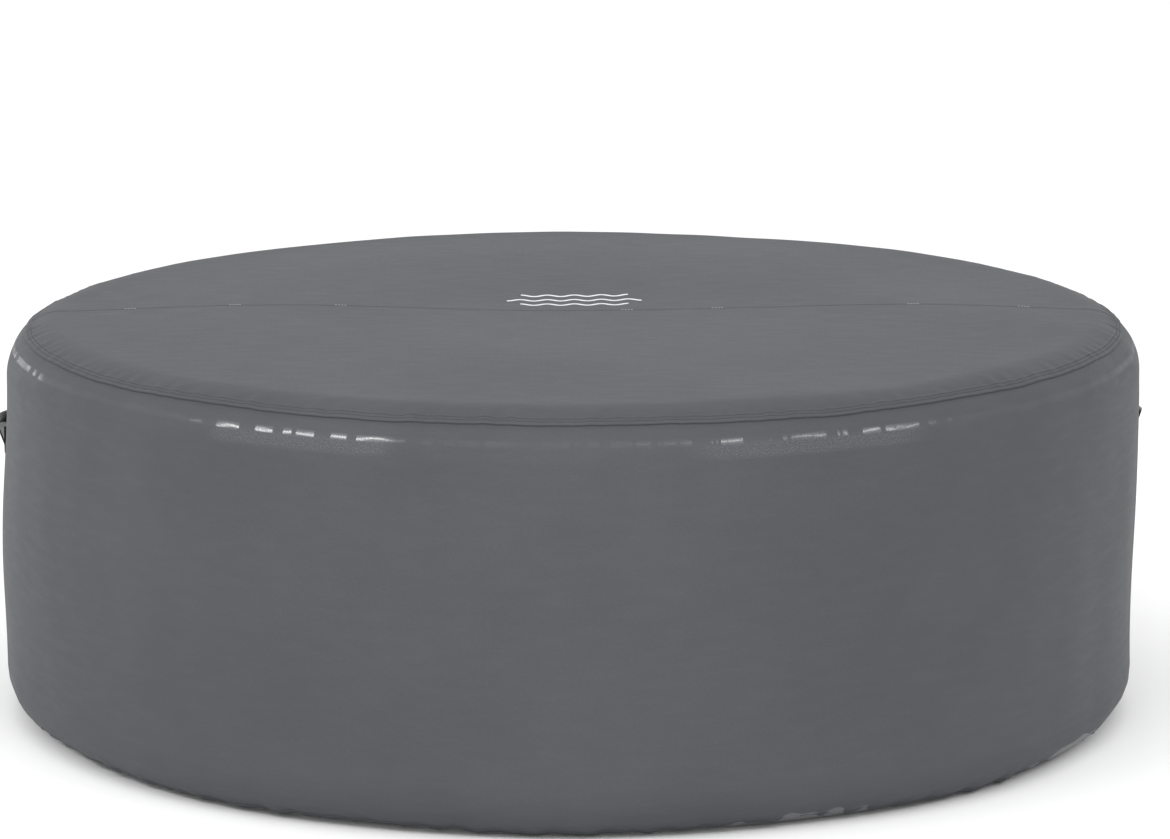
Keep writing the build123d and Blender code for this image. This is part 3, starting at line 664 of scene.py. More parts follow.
def rounded(points: Sequence[Pair], radii: Sequence[float], steps: int = 6) -> list[Pair]:
    """An open outline with its corners rounded.

    Args:
        points: the corners.
        radii: a radius for each point, 0 at the ends.
        steps: points along each arc.

    Returns:
        The outline's points.
    """
    made: list[Pair] = []
    for i, (p, radius) in enumerate(zip(points, radii)):
        if radius <= 0 or i in (0, len(points) - 1):
            made.append(tuple(p))
            continue
        here = Vector(p)
        back = (Vector(points[i - 1]) - here).normalized()
        on = (Vector(points[i + 1]) - here).normalized()
        half = back.angle(on) / 2
        reach = radius / math.tan(half)
        start, end = here + back * reach, here + on * reach
        centre = here + (back + on).normalized() * (radius / math.sin(half))
        a = math.atan2(start.y - centre.y, start.x - centre.x)
        b = math.atan2(end.y - centre.y, end.x - centre.x)
        sweep = (b - a + math.pi) % TAU - math.pi
        for k in range(steps + 1):
            angle = a + sweep * k / steps
            made.append((centre.x + radius * math.cos(angle), centre.y + radius * math.sin(angle)))
    return made


@dataclass
class Ripple:
    """A smooth seeded wave pattern round the tub, a sum of cosines."""

    seed: int
    lowest: int
    highest: int
    terms: int
    slant: float = 0.0

    def __post_init__(self) -> None:
        """Draws the cosines' counts, phases and slants."""
        draw = random.Random(self.seed)
        self.parts = [
            (draw.randint(self.lowest, self.highest), draw.uniform(0, TAU), draw.uniform(-1, 1) * self.slant)
            for _ in range(self.terms)
        ]

    def at(self, angle: Array, along: Array) -> Array:
        """The pattern's value.

        Args:
            angle: radians round the tub.
            along: metres down the profile.

        Returns:
            Values of about -1 to 1.
        """
        total = sum(np.cos(n * angle + phase + slant * along) for n, phase, slant in self.parts)
        return total / math.sqrt(self.terms / 2)


# ------------------------------------------------------------------ the cover's surface
DOME_STEPS = 400
ARC_STEPS = 240
ON_TOP = DOME_STEPS + ARC_STEPS  # profile points from the centre to the shoulder's end


@dataclass
class CoverSurface:
    """The outside of the fitted cover: a low dome, a rounded shoulder, a side, and a tucked hem.

    A place on it is an angle from the front and a distance down the profile from the centre of the top.
    """

    radius: float = 0.9945
    edge_height: float = 0.7015
    crown: Sequence[float] = (-0.0035, -0.0020, 0.0030, 0.0065, 0.0068, 0.0035, 0.0)
    shoulder: float = 0.0955
    bulge: float = 0.0068
    tuck: float = 0.0780
    foot: float = 0.0036
    tuck_angle: float = 1.24
    seam_radius: float = 0.962
    lean: float = 0.0085
    hem_depth: float = 0.022
    settle: float = 0.0055

    def __post_init__(self) -> None:
        """Works out the profile and the wave patterns."""
        start = self.radius - self.shoulder
        r = np.linspace(0, start, DOME_STEPS, endpoint=False)
        rise = np.interp(r, np.linspace(0, start, len(self.crown)), self.crown)
        soft = np.hanning(83)[1:-1]
        rise = np.convolve(np.pad(rise, 40, mode="edge"), soft / np.hanning(83).sum(), "valid")
        slope = float((rise[-9] - rise[-1]) / (r[-1] - r[-9]))
        rise -= rise[-1]
        dome = np.stack([r, self.edge_height + rise], 1)
        theta = np.linspace(slope, math.pi / 2, ARC_STEPS, endpoint=False)
        arc_z = self.edge_height - self.shoulder * (1 - np.cos(theta))
        arc = np.stack([start + self.shoulder * np.sin(theta), arc_z], 1)
        top, low = self.edge_height - self.shoulder, self.foot + self.tuck
        z = np.linspace(top, low, 500, endpoint=False)
        side = np.stack([self.radius + self.bulge * np.sin(math.pi * (z - low) / (top - low)) ** 2, z], 1)
        beta = np.linspace(0, self.tuck_angle, 160)
        under_r = self.radius - self.tuck * (1 - np.cos(beta))
        under = np.stack([under_r, self.foot + self.tuck * (1 - np.sin(beta))], 1)
        self.line = np.concatenate([dome, arc, side, under])
        steps = np.linalg.norm(np.diff(self.line, axis=0), axis=1)
        self.lengths = np.concatenate([[0], np.cumsum(steps)])
        tangent = np.gradient(self.line, self.lengths, axis=0)
        tangent /= np.linalg.norm(tangent, axis=1)[:, None]
        self.normals = np.stack([-tangent[:, 1], tangent[:, 0]], 1)
        self.seam = float(np.interp(self.seam_radius, self.line[:ON_TOP, 0], self.lengths[:ON_TOP]))
        self.end = float(self.lengths[-1])
        self.hem = self.end - self.hem_depth
        self.glint = self.seam + 0.035
        self.slack = Ripple(3, 2, 9, 7, 3.0)
        self.side_waves = Ripple(5, 14, 46, 9, 9.0)
        self.seam_puckers = Ripple(7, 90, 230, 14, 30.0)
        self.shoulder_dents = Ripple(11, 34, 120, 12, 60.0)
        self.hem_puckers = Ripple(13, 50, 140, 12, 25.0)
        draw = random.Random(17)
        self.top_waves = [
            (draw.uniform(3, 13) * draw.choice((-1, 1)), draw.uniform(3, 13), draw.uniform(0, TAU))
            for _ in range(9)
        ]

    def at_height(self, z: float) -> float:
        """Distance down the profile at a height on the side."""
        side = slice(ON_TOP, None)
        return float(np.interp(-z, -self.line[side, 1], self.lengths[side]))

    def puckers(self, angle: Array, along: Array, r: Array) -> Array:
        """How far the fabric stands off its smooth shape.

        Args:
            angle: radians from the front.
            along: metres down the profile.
            r: radius there, in metres.

        Returns:
            Metres along the outward normal.
        """

        def near(place: float, width: float) -> Array:
            return np.exp(-(((along - place) / width) ** 2))

        x, y = r * np.sin(angle), -r * np.cos(angle)
        on_top = 1 / (1 + np.exp((along - self.seam + 0.05) / 0.02))
        off = sum(np.cos(a * x + b * y + p) for a, b, p in self.top_waves) / 3 * 0.0011 * on_top
        off += 0.0016 * self.slack.at(angle, along) * (1 - on_top)
        off += 0.0005 * self.side_waves.at(angle, along) * (1 - on_top)
        off += 0.0006 * self.seam_puckers.at(angle, along) * near(self.seam - 0.016, 0.017)
        off += 0.00016 * self.shoulder_dents.at(angle, along) * near(self.glint, 0.022)
        off += 0.0014 * self.hem_puckers.at(angle, along) * near(self.end - 0.014, 0.022)
        off -= 0.0010 * near(self.seam + 0.004, 0.004)
        crossing = np.exp(-((y / 0.010) ** 2)) * on_top
        return off + crossing * 0.0002 * np.cos(x * 110 + 2 * np.cos(x * 23))

    def points(self, angle: Array, along: Array, off: Array | float = 0.0) -> Array:
        """Points on or near the surface.

        Args:
            angle: radians from the front, growing towards +X.
            along: metres down the profile.
            off: metres outside the surface.

        Returns:
            Points as [..., 3].
        """
        angle, along = np.broadcast_arrays(np.asarray(angle, float), np.asarray(along, float))
        r = np.interp(along, self.lengths, self.line[:, 0])
        z = np.interp(along, self.lengths, self.line[:, 1])
        nr = np.interp(along, self.lengths, self.normals[:, 0])
        nz = np.interp(along, self.lengths, self.normals[:, 1])
        total = self.puckers(angle, along, r) + off
        r, z = r + nr * total, z + nz * total
        drop = np.clip((0.56 - z) / 0.34, 0, 1)
        shift = -self.lean * drop * drop * (3 - 2 * drop)
        belly = np.sin(math.pi * np.clip((z - 0.06) / 0.50, 0, 1))
        r = r - self.settle * belly * np.clip(np.sin(angle), 0, 1)
        low = np.clip(-np.cos(angle), 0, 1) * 0.8 + np.clip(-np.sin(angle), 0, 1) * 0.6
        z = z - self.settle * low * np.clip((r - 0.35) / 0.5, 0, 1) * np.clip((z - 0.3) / 0.3, 0, 1)
        return np.stack([r * np.sin(angle) + shift, -r * np.cos(angle), z], -1)


@dataclass
class Ribbon:
    """A strip or thread that follows a path on the cover's surface."""

    surface: CoverSurface

    def side_of(self, angles: Array, along: Array, closed: bool) -> tuple[Array, Array]:
        """Unit step across the path, in metres on the flat cut.

        Args:
            angles: radians along the path.
            along: metres down the profile along the path.
            closed: whether the path joins its start.

        Returns:
            The step's part round the tub and its part down the profile.
        """
        round_m, down = angles * self.surface.radius, along
        if closed:
            turn = TAU * self.surface.radius
            du = np.roll(round_m, -1) - np.roll(round_m, 1)
            du = (du + turn / 2) % turn - turn / 2
            dv = np.roll(down, -1) - np.roll(down, 1)
        else:
            du, dv = np.gradient(round_m), np.gradient(down)
        size = np.hypot(du, dv)
        return -dv / size, du / size

    def strip(
        self, data: MeshData, angles: Array, along: Array, section: Sequence[Pair], closed: bool
    ) -> None:
        """Sweeps a cross-section along the path.

        Args:
            data: the mesh that takes it.
            angles: radians along the path.
            along: metres down the profile along the path.
            section: (metres across the path, metres off the surface).
            closed: whether the path joins its start.
        """
        across_u, across_v = self.side_of(angles, along, closed)
        rows = []
        for step, off in section:
            a = angles + across_u * step / self.surface.radius
            rows.append(self.surface.points(a, along + across_v * step, off))
        data.add_grid(np.stack(rows), closed)

    def stitches(
        self,
        data: MeshData,
        angles: Array,
        along: Array,
        length: float = 0.0042,
        gap: float = 0.0016,
        thickness: float = 0.00055,
        lift: float = 0.0004,
    ) -> None:
        """Adds a row of single stitches.

        Args:
            data: the mesh that takes them.
            angles: radians along a finely divided path.
            along: metres down the profile along the path.
            length: a stitch's length.
            gap: between stitches.
            thickness: the thread's radius.
            lift: how far the row lies off the surface.
        """
        path = self.surface.points(angles, along, lift)
        run = np.concatenate([[0], np.cumsum(np.linalg.norm(np.diff(path, axis=0), axis=1))])
        count = int(run[-1] // (length + gap))
        starts = np.arange(count) * (run[-1] / count)
        share = np.array([0.0, 0.12, 0.5, 0.88, 1.0])
        swell = np.array([0.25, 0.85, 1.0, 0.85, 0.25])
        sink = np.array([-0.0006, 0.0, 0.00015, 0.0, -0.0006])
        at = starts[:, None] + share[None, :] * length
        a, s = np.interp(at, run, angles), np.interp(at, run, along)
        core = self.surface.points(a, s, lift + sink[None, :])
        ahead = np.gradient(core, axis=1)
        ahead /= np.linalg.norm(ahead, axis=2, keepdims=True)
        up = self.surface.points(a, s, lift + 0.01) - self.surface.points(a, s, lift)
        up /= np.linalg.norm(up, axis=2, keepdims=True)
        aside = np.cross(ahead, up)
        turns = np.linspace(0, TAU, 6, endpoint=False)
        wide = thickness * swell[None, :, None]
        rings = [core + aside * wide * math.cos(t) + up * wide * math.sin(t) * 0.8 for t in turns]
        tubes = np.stack(rings, 2)
        for tube in tubes:
            data.add_grid(tube, True, np.zeros((5, 7, 2)))


# ------------------------------------------------------------------ the cover
WANDER = 0.0005  # how far the edge seam strays, in metres
LINING_DEPTH = 0.0092  # from the cover's outside to its lining
SHOULDER_GLOSS = 0.650  # height of the tight, glossy line on the shoulder


@dataclass
class Opening:
    """The arched opening at the back of the skirt."""

    half: float = 0.280
    height: float = 0.500
    corner: float = 0.070

    def half_angle(self, surface: CoverSurface) -> float:
        """Angle from the back to the opening's side."""
        return math.asin(self.half / surface.radius)

    def top_at(self, x: Array) -> Array:
        """The opening's height at a distance from its middle."""
        over = np.clip(np.abs(x) - (self.half - self.corner), 0, self.corner)
        return self.height - self.corner + np.sqrt(np.clip(self.corner**2 - over**2, 0, None))


@dataclass
class Cover:
    """The fitted cover with its seams, hem, mark and lining."""

    surface: CoverSurface = field(default_factory=CoverSurface)
    opening: Opening = field(default_factory=Opening)
    columns: int = 1080
    body: str = "cover"

    def __post_init__(self) -> None:
        """Makes the finishes."""
        self.ribbon = Ribbon(self.surface)
        self.fabric = CoatedFabric("cover_fabric").build()
        self.skirt_fabric = CoatedFabric("cover_skirt_fabric", gloss_height=SHOULDER_GLOSS).build()
        self.tape = Webbing("hem_tape", (0.055, 0.056, 0.060)).build()
        self.thread = Thread("grey_thread_and_painted_shadow", (0.020, 0.021, 0.023)).build()
        self.painted_glint_thread = Thread("painted_glint_thread", (0.42, 0.42, 0.43)).build()
        self.ink = Moulded("pale_ink", (0.70, 0.71, 0.72), 0.5).build()
        self.foil = Foil().build()

    @staticmethod
    def angles(count: int) -> Array:
        """Evenly spaced angles all round the cover."""
        return np.linspace(0.0, TAU, count, endpoint=False)

    def rings(self, edge: float, counts: tuple[int, int], end: float) -> Array:
        """Places down the profile of the top, closer together near the edge.

        Args:
            edge: how far before the seam they get closer.
            counts: how many before and after that.
            end: how far past the seam they go.

        Returns:
            Metres down the profile.
        """
        seam = self.surface.seam
        inner = np.linspace(0.0, seam - edge, counts[0], endpoint=False)
        return np.concatenate([inner, np.linspace(seam - edge, seam + end, counts[1])])

    def build(self) -> list[bpy.types.Object]:
        """Builds every piece of the cover."""
        return [*self.top_panels(), self.skirt(), *self.seams(), *self.hem(), self.mark(), *self.lining()]

    def top_panels(self) -> list[bpy.types.Object]:
        """The two half-round top panels."""
        s = self.surface
        rings = self.rings(0.06, (64, 24), 0.001)
        made = []
        for where, start in (("front", -math.pi / 2), ("rear", math.pi / 2)):
            a = np.linspace(start, start + math.pi, self.columns // 2 + 1)
            along, angle = np.meshgrid(rings, a, indexing="ij")
            grid = s.points(angle, along)
            cloth = np.stack([along * np.sin(angle), -along * np.cos(angle)], 2)
            data = MeshData()
            data.add_grid(grid, False, cloth, flip=True)
            piece = data.piece(f"top_panel_{where}", self.fabric, self.body, "cover_fabric")
            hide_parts(f"cover_top_{where}")
            made.append(piece)
        return made

    def skirt_grids(
        self, data: MeshData, off: float, top: float, bottom: float, rows: int, columns: int, flip: bool
    ) -> None:
        """Adds a side wall with the arched opening left out.

        Args:
            data: the mesh that takes it.
            off: metres outside the cover's surface.
            top: where it starts down the profile.
            bottom: where it ends.
            rows: rows of faces.
            columns: columns all round.
            flip: whether the faces look the other way.
        """
        s, hole = self.surface, self.opening
        half = hole.half_angle(s)
        share = int(columns * (math.pi - half) / math.pi)
        a = np.linspace(-math.pi + half, math.pi - half, share)
        bends = (top, top + 0.12, bottom - 0.06, bottom)
        runs = zip(bends, bends[1:], (rows // 2, rows // 3, rows // 4))
        down = np.concatenate([np.linspace(a, b, n, endpoint=b == bottom) for a, b, n in runs])
        along, angle = np.meshgrid(down, a, indexing="ij")
        data.add_grid(s.points(angle, along, off), False, np.stack([angle * s.radius, along], 2), flip)
        b = np.linspace(math.pi - half, math.pi + half, columns - share + 2)
        edge = np.array([s.at_height(float(z)) for z in hole.top_at(s.radius * np.sin(b))])
        share_down = (down[: rows // 2 + 6] - top) / (down[rows // 2 + 5] - top)
        along = top + share_down[:, None] * (edge - top)[None, :]
        angle = np.repeat(b[None, :], len(share_down), 0)
        data.add_grid(s.points(angle, along, off), False, np.stack([angle * s.radius, along], 2), flip)

    def skirt(self) -> bpy.types.Object:
        """The side panel, from the edge seam to the hem."""
        s = self.surface
        data = MeshData()
        self.skirt_grids(data, 0.0, s.seam - 0.001, s.end, 84, self.columns, True)
        piece = data.piece("skirt_panel", self.skirt_fabric, self.body, "cover_fabric")
        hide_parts("cover_skirt")
        return piece

    def seams(self) -> list[bpy.types.Object]:
        """The lapped edge seam, the seam across the top, their stitches, a thin dark strip of painted shadow
        under the lap's lower edge, and short pale stitches on the top seam whose pale colour is a painted
        glint.
        """
        s = self.surface
        a = self.angles(1400)
        wander = Ripple(23, 9, 60, 8)
        edge = s.seam + WANDER * wander.at(a, a)
        lap = MeshData()
        section = [
            (-0.0185, -0.0004), (-0.0176, 0.0007), (-0.0150, 0.0012), (-0.0132, 0.0013), (-0.0120, 0.0002),
            (-0.0108, 0.0015), (-0.0085, 0.0017), (-0.0072, 0.0017), (-0.0060, 0.0003), (-0.0048, 0.0019),
            (-0.0020, 0.0023), (0.0004, 0.0025), (0.0012, 0.0020), (0.0014, -0.0016),
        ]
        self.ribbon.strip(lap, a, edge, section, True)
        lap_piece = lap.piece("edge_seam_lap", self.fabric, self.body, "cover_fabric")
        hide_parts("cover_piping")
        x = np.linspace(-0.955, 0.955, 700)
        cross = MeshData()
        lap_y = (-0.0042, -0.0036, -0.0006, 0.0004, 0.0009)
        lap_off = (-0.0002, 0.0003, 0.0004, 0.0004, -0.0002)
        cross.add_grid(np.stack([self.chord_points(x, y, off) for y, off in zip(lap_y, lap_off)]), False)
        cross_piece = cross.piece("centre_seam_lap", self.fabric, self.body, "cover_fabric")
        sewn = MeshData()
        fine = np.linspace(0, TAU, 9000)
        drift = WANDER * wander.at(fine, fine)
        for step in (-0.0120, -0.0060):
            self.ribbon.stitches(sewn, fine, s.seam + drift + step, lift=0.0005)
        # Painted shadow: a thin strip of the dark thread finish along the lap's lower edge stands in for the
        # shade in the gap under the lap.
        painted_gap_shadow = [(0.0010, -0.0004), (0.0013, 0.0009), (0.0024, 0.0009), (0.0028, -0.0004)]
        self.ribbon.strip(sewn, a, edge, painted_gap_shadow, True)
        stitches_and_shadow_piece = sewn.piece("seam_stitches_and_painted_shadow", self.thread, self.body)
        chained = MeshData()
        fa, fs = self.chord(np.linspace(-0.95, 0.95, 4000), -0.0018)
        self.ribbon.stitches(chained, fa, fs, thickness=0.0004, lift=0.0003)
        chain_piece = chained.piece("centre_seam_stitches", self.thread, self.body)
        # Painted glints: seven short stitches across the top seam. The stitches are real, but their pale
        # thread colour stands in for the bright glints along the seam.
        glint_tacks = MeshData()
        for at in (-0.782, -0.597, -0.411, 0.094, 0.253, 0.598, 0.793):
            ta, ts = self.chord(np.linspace(at - 0.011, at + 0.011, 60), -0.0018)
            self.ribbon.stitches(glint_tacks, ta, ts, length=0.0036, gap=0.0014, thickness=0.0007, lift=0.0009)
        glint_tack_piece = glint_tacks.piece("centre_seam_painted_glints", self.painted_glint_thread, self.body)
        return [lap_piece, cross_piece, stitches_and_shadow_piece, chain_piece, glint_tack_piece]

    def chord(self, x: Array, y: float) -> tuple[Array, Array]:
        """Angles and profile distances of a straight line across the top."""
        r = np.hypot(x, y)
        s = self.surface
        return np.arctan2(x, -y), np.interp(r, s.line[:ON_TOP, 0], s.lengths[:ON_TOP])

    def chord_points(self, x: Array, y: float, off: float) -> Array:
        """Points along a straight line across the top."""
        angle, along = self.chord(x, y)
        return self.surface.points(angle, along, off)

    def hem(self) -> list[bpy.types.Object]:
        """The turned hem, its tape, the tape round the opening, and the hem's stitches."""
        s, hole = self.surface, self.opening
        half = hole.half_angle(s)
        a = np.linspace(-math.pi + half, math.pi - half, 1200)
        fold = MeshData()
        section = [(-0.0226, -0.0003), (-0.0218, 0.0008), (-0.0100, 0.0011), (-0.0010, 0.0010)]
        self.ribbon.strip(fold, a, np.full_like(a, s.end), section, False)
        fold_piece = fold.piece("hem_fold", self.fabric, self.body, "cover_fabric")
        tape = MeshData()
        bound = [
            (-0.0040, 0.0012), (-0.0036, 0.0021), (-0.0004, 0.0022), (0.0016, 0.0004), (0.0018, -0.0050),
            (0.0004, -0.0092), (-0.0120, -0.0098),
        ]
        self.ribbon.strip(tape, a, np.full_like(a, s.end), bound, False)
        arch_a, arch_s = self.arch_path()
        edging = [
            (-0.0130, 0.0004), (-0.0126, 0.0014), (0.0, 0.0016), (0.0014, 0.0), (0.0014, -0.0085),
            (0.0, -0.0096), (-0.0130, -0.0098),
        ]
        self.ribbon.strip(tape, arch_a, arch_s, edging, False)
        tape_piece = tape.piece("hem_tape", self.tape, self.body, "cover_thread_tape")
        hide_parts("cover_binding")
        sewn = MeshData()
        fine = np.linspace(-math.pi + half, math.pi - half, 9000)
        self.ribbon.stitches(sewn, fine, np.full_like(fine, s.end - 0.0205), lift=0.0010)
        places = np.arange(len(arch_a))
        run = np.linspace(0, places[-1], 3000)
        fine_a, fine_s = np.interp(run, places, arch_a), np.interp(run, places, arch_s)
        across_u, across_v = self.ribbon.side_of(fine_a, fine_s, False)
        inset = 0.0105
        self.ribbon.stitches(
            sewn, fine_a - across_u * inset / s.radius, fine_s - across_v * inset, lift=0.0016
        )
        sewn_piece = sewn.piece("hem_stitches", self.thread, self.body)
        return [fold_piece, tape_piece, sewn_piece]

    def arch_path(self) -> tuple[Array, Array]:
        """The opening's edge as angles and profile distances, from one foot round to the other."""
        s, hole = self.surface, self.opening
        corners = [(-hole.half, 0.0), (-hole.half, hole.height), (hole.half, hole.height), (hole.half, 0.0)]
        line = rounded(corners, (0, hole.corner, hole.corner, 0), 14)
        dense: list[tuple[float, float]] = []
        for (x0, z0), (x1, z1) in zip(line, line[1:]):
            count = max(1, int(math.hypot(x1 - x0, z1 - z0) / 0.008))
            dense += [(x0 + (x1 - x0) * k / count, z0 + (z1 - z0) * k / count) for k in range(count)]
        dense.append(line[-1])
        x, z = np.array(dense).T
        heights = np.maximum(z, s.line[-1, 1])
        return math.pi - np.arcsin(x / s.radius), np.array([s.at_height(float(h)) for h in heights])

    def mark(self) -> bpy.types.Object:
        """Three printed wave lines behind the centre seam."""
        data = MeshData()
        first, pitch, swing, turn = 0.058, 0.044, 0.007, TAU / 0.048
        for row, half in enumerate((0.096, 0.120, 0.096)):
            x = np.linspace(-half, half, 200)
            y = first + row * pitch + swing * np.cos(x * turn)
            slope = -swing * turn * np.sin(x * turn)
            size = np.hypot(1, slope)
            rows = []
            for off_line, lift in ((-0.0033, 0.0001), (-0.0028, 0.0006), (0.0028, 0.0006), (0.0033, 0.0001)):
                px, py = x - off_line * slope / size, y + off_line / size
                rows.append(self.surface.points(np.arctan2(px, -py), np.hypot(px, py), lift))
            data.add_grid(np.stack(rows), False)
        piece = data.piece("printed_waves", self.ink, self.body, "emblem_film")
        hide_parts("cover_emblem")
        return piece

    def lining(self) -> list[bpy.types.Object]:
        """The foil-faced lining under the top and inside the skirt."""
        s = self.surface
        data = MeshData()
        along, angle = np.meshgrid(self.rings(0.05, (40, 8), 0.0), self.angles(360), indexing="ij")
        data.add_grid(s.points(angle, along, -LINING_DEPTH), True)
        top = data.piece("lining_top", self.foil, self.body, "foil")
        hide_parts("cover_top_foam", "cover_foil_lining")
        data = MeshData()
        self.skirt_grids(data, -LINING_DEPTH, s.seam, s.end, 40, 540, False)
        side = data.piece("lining_side", self.foil, self.body, "foil")
        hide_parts("cover_skirt_foam")
        return [top, side]


# ------------------------------------------------------------------ the handles
@dataclass
class Handle:
    """One carrying strap: two sewn ends, webbing that bows out, and a padded grip."""

    side: str
    surface: CoverSurface
    bow: float
    span: float = 0.230
    width: float = 0.048
    thickness: float = 0.0028
    height: float = 0.469
    turn: float = math.radians(7.0)
    droop: float = math.radians(20.0)

    def frame_of(self, points: Array) -> Array:
        """Moves points drawn at the +X side to this handle's place."""
        if self.side == "left":
            points = points * np.array([-1.0, 1.0, 1.0])
        return rotated_about_z(points, self.turn if self.side == "right" else -self.turn)

    def centre_line(self, share: Array) -> tuple[Array, Array]:
        """The strap's bow.

        Args:
            share: from -1 at one sewn end to 1 at the other.

        Returns:
            Metres outside the pivot line, and metres along it.
        """
        y = share * self.span / 2
        out = self.bow * np.cos(np.clip(share, -1, 1) * math.pi / 2) ** 1.25
        return out, y

    def band(self, share: Array, half_width: Array, inner: float, outer: float) -> Array:
        """Closed cross-sections of the strap.

        Args:
            share: places along the strap.
            half_width: half of its width at each place.
            inner: the inner face's distance from the middle surface.
            outer: the outer face's distance from it.

        Returns:
            A grid as [section points, places, 3], at the +X side.
        """
        out, y = self.centre_line(share)
        slope = np.gradient(out, y)
        size = np.hypot(1, slope)
        corner = 0.8 * MM
        steps = (-1, -0.5, 0, 0.5, 1)
        crowned = [(step, outer + 0.0004 * (1 - abs(step))) for step in steps]
        loop = [*crowned, *((step, inner) for step in steps[::-1]), (-1, outer)]
        rows = []
        pivot = self.surface.radius + 0.0022
        easing = np.clip((1 - np.abs(share)) / 0.45, 0, 1)
        tilt = self.droop * easing
        for across, off in loop:
            w = across * (half_width - corner * (abs(across) == 1 and abs(off) < abs(outer)))
            x = out + off / size
            px = pivot + x * np.cos(tilt) + w * np.sin(tilt)
            pz = self.height - x * np.sin(tilt) + w * np.cos(tilt)
            rows.append(np.stack([px, y - off * slope / size, pz], -1))
        return np.stack(rows)

    def build(self) -> list[bpy.types.Object]:
        """Builds the strap's two halves, its grip, and its sewn patches."""
        strap_finish = Webbing(f"strap_{self.side}").build()
        half_thick = self.thickness / 2
        made = []
        for end, where in ((-1, "front"), (1, "rear")):
            share = np.linspace(end * 1.22, 0.0, 60)
            grid = self.band(share, np.full_like(share, self.width / 2), -half_thick, half_thick)
            data = MeshData()
            data.add_grid(self.frame_of(grid), False, None, (end > 0) == (self.side == "right"))
            piece = data.piece(f"strap_{self.side}_{where}", strap_finish, slot="strap")
            start, stop = (self.frame_of(self.along_pivot(end * part))[0] for part in (0.98, 0.45))
            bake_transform(piece)
            made.append(piece)
        share = np.linspace(-0.42, 0.42, 40)
        puff = 0.0032 * np.sqrt(np.clip(1 - (share / 0.43) ** 4, 0, 1))
        thick = half_thick + 0.002
        grid = self.band(share, np.full_like(share, self.width / 2 + 0.0012), -thick, thick)
        middle = grid.mean(0, keepdims=True)
        grid = middle + (grid - middle) * (1 + puff / 0.012)[None, :, None]
        data = MeshData()
        data.add_grid(self.frame_of(grid), False, None, self.side == "left")
        vinyl = Vinyl(f"grip_{self.side}_vinyl", (0.010, 0.010, 0.011), 700).build()
        grip = data.piece(f"grip_{self.side}", vinyl, f"handle_{self.side}", "strap")
        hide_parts(f"handle_{self.side}")
        return [*made, grip, self.patches()]

    def along_pivot(self, share: float) -> Array:
        """A point on the line that the handle swings about, drawn at the +X side."""
        return np.array([[self.surface.radius, share * self.span / 2, self.height]])

    def patches(self) -> bpy.types.Object:
        """The reinforcing patches under both sewn ends."""
        data = MeshData()
        s = self.surface
        base = (math.pi / 2 + self.turn) * (1 if self.side == "right" else -1)
        for end in (-1, 1):
            middle = base + end * 0.124 / s.radius
            a = np.linspace(middle - 0.030 / s.radius, middle + 0.030 / s.radius, 24)
            down = np.linspace(s.at_height(self.height + 0.037), s.at_height(self.height - 0.037), 28)
            along, angle = np.meshgrid(down, a, indexing="ij")
            from_ends = np.minimum(along - down[0], down[-1] - along)
            inside = np.minimum(from_ends, np.minimum(angle - a[0], a[-1] - angle) * s.radius)
            off = 0.0016 * np.clip(inside / 0.0016, 0, 1) - 0.0002
            data.add_grid(s.points(angle, along, off), False, np.stack([angle * s.radius, along], 2), True)
        webbing = Webbing(f"patch_{self.side}", (0.020, 0.020, 0.021)).build()
        piece = data.piece(f"strap_patches_{self.side}", webbing, "cover", "strap")
        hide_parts("handle_patches")
        return piece


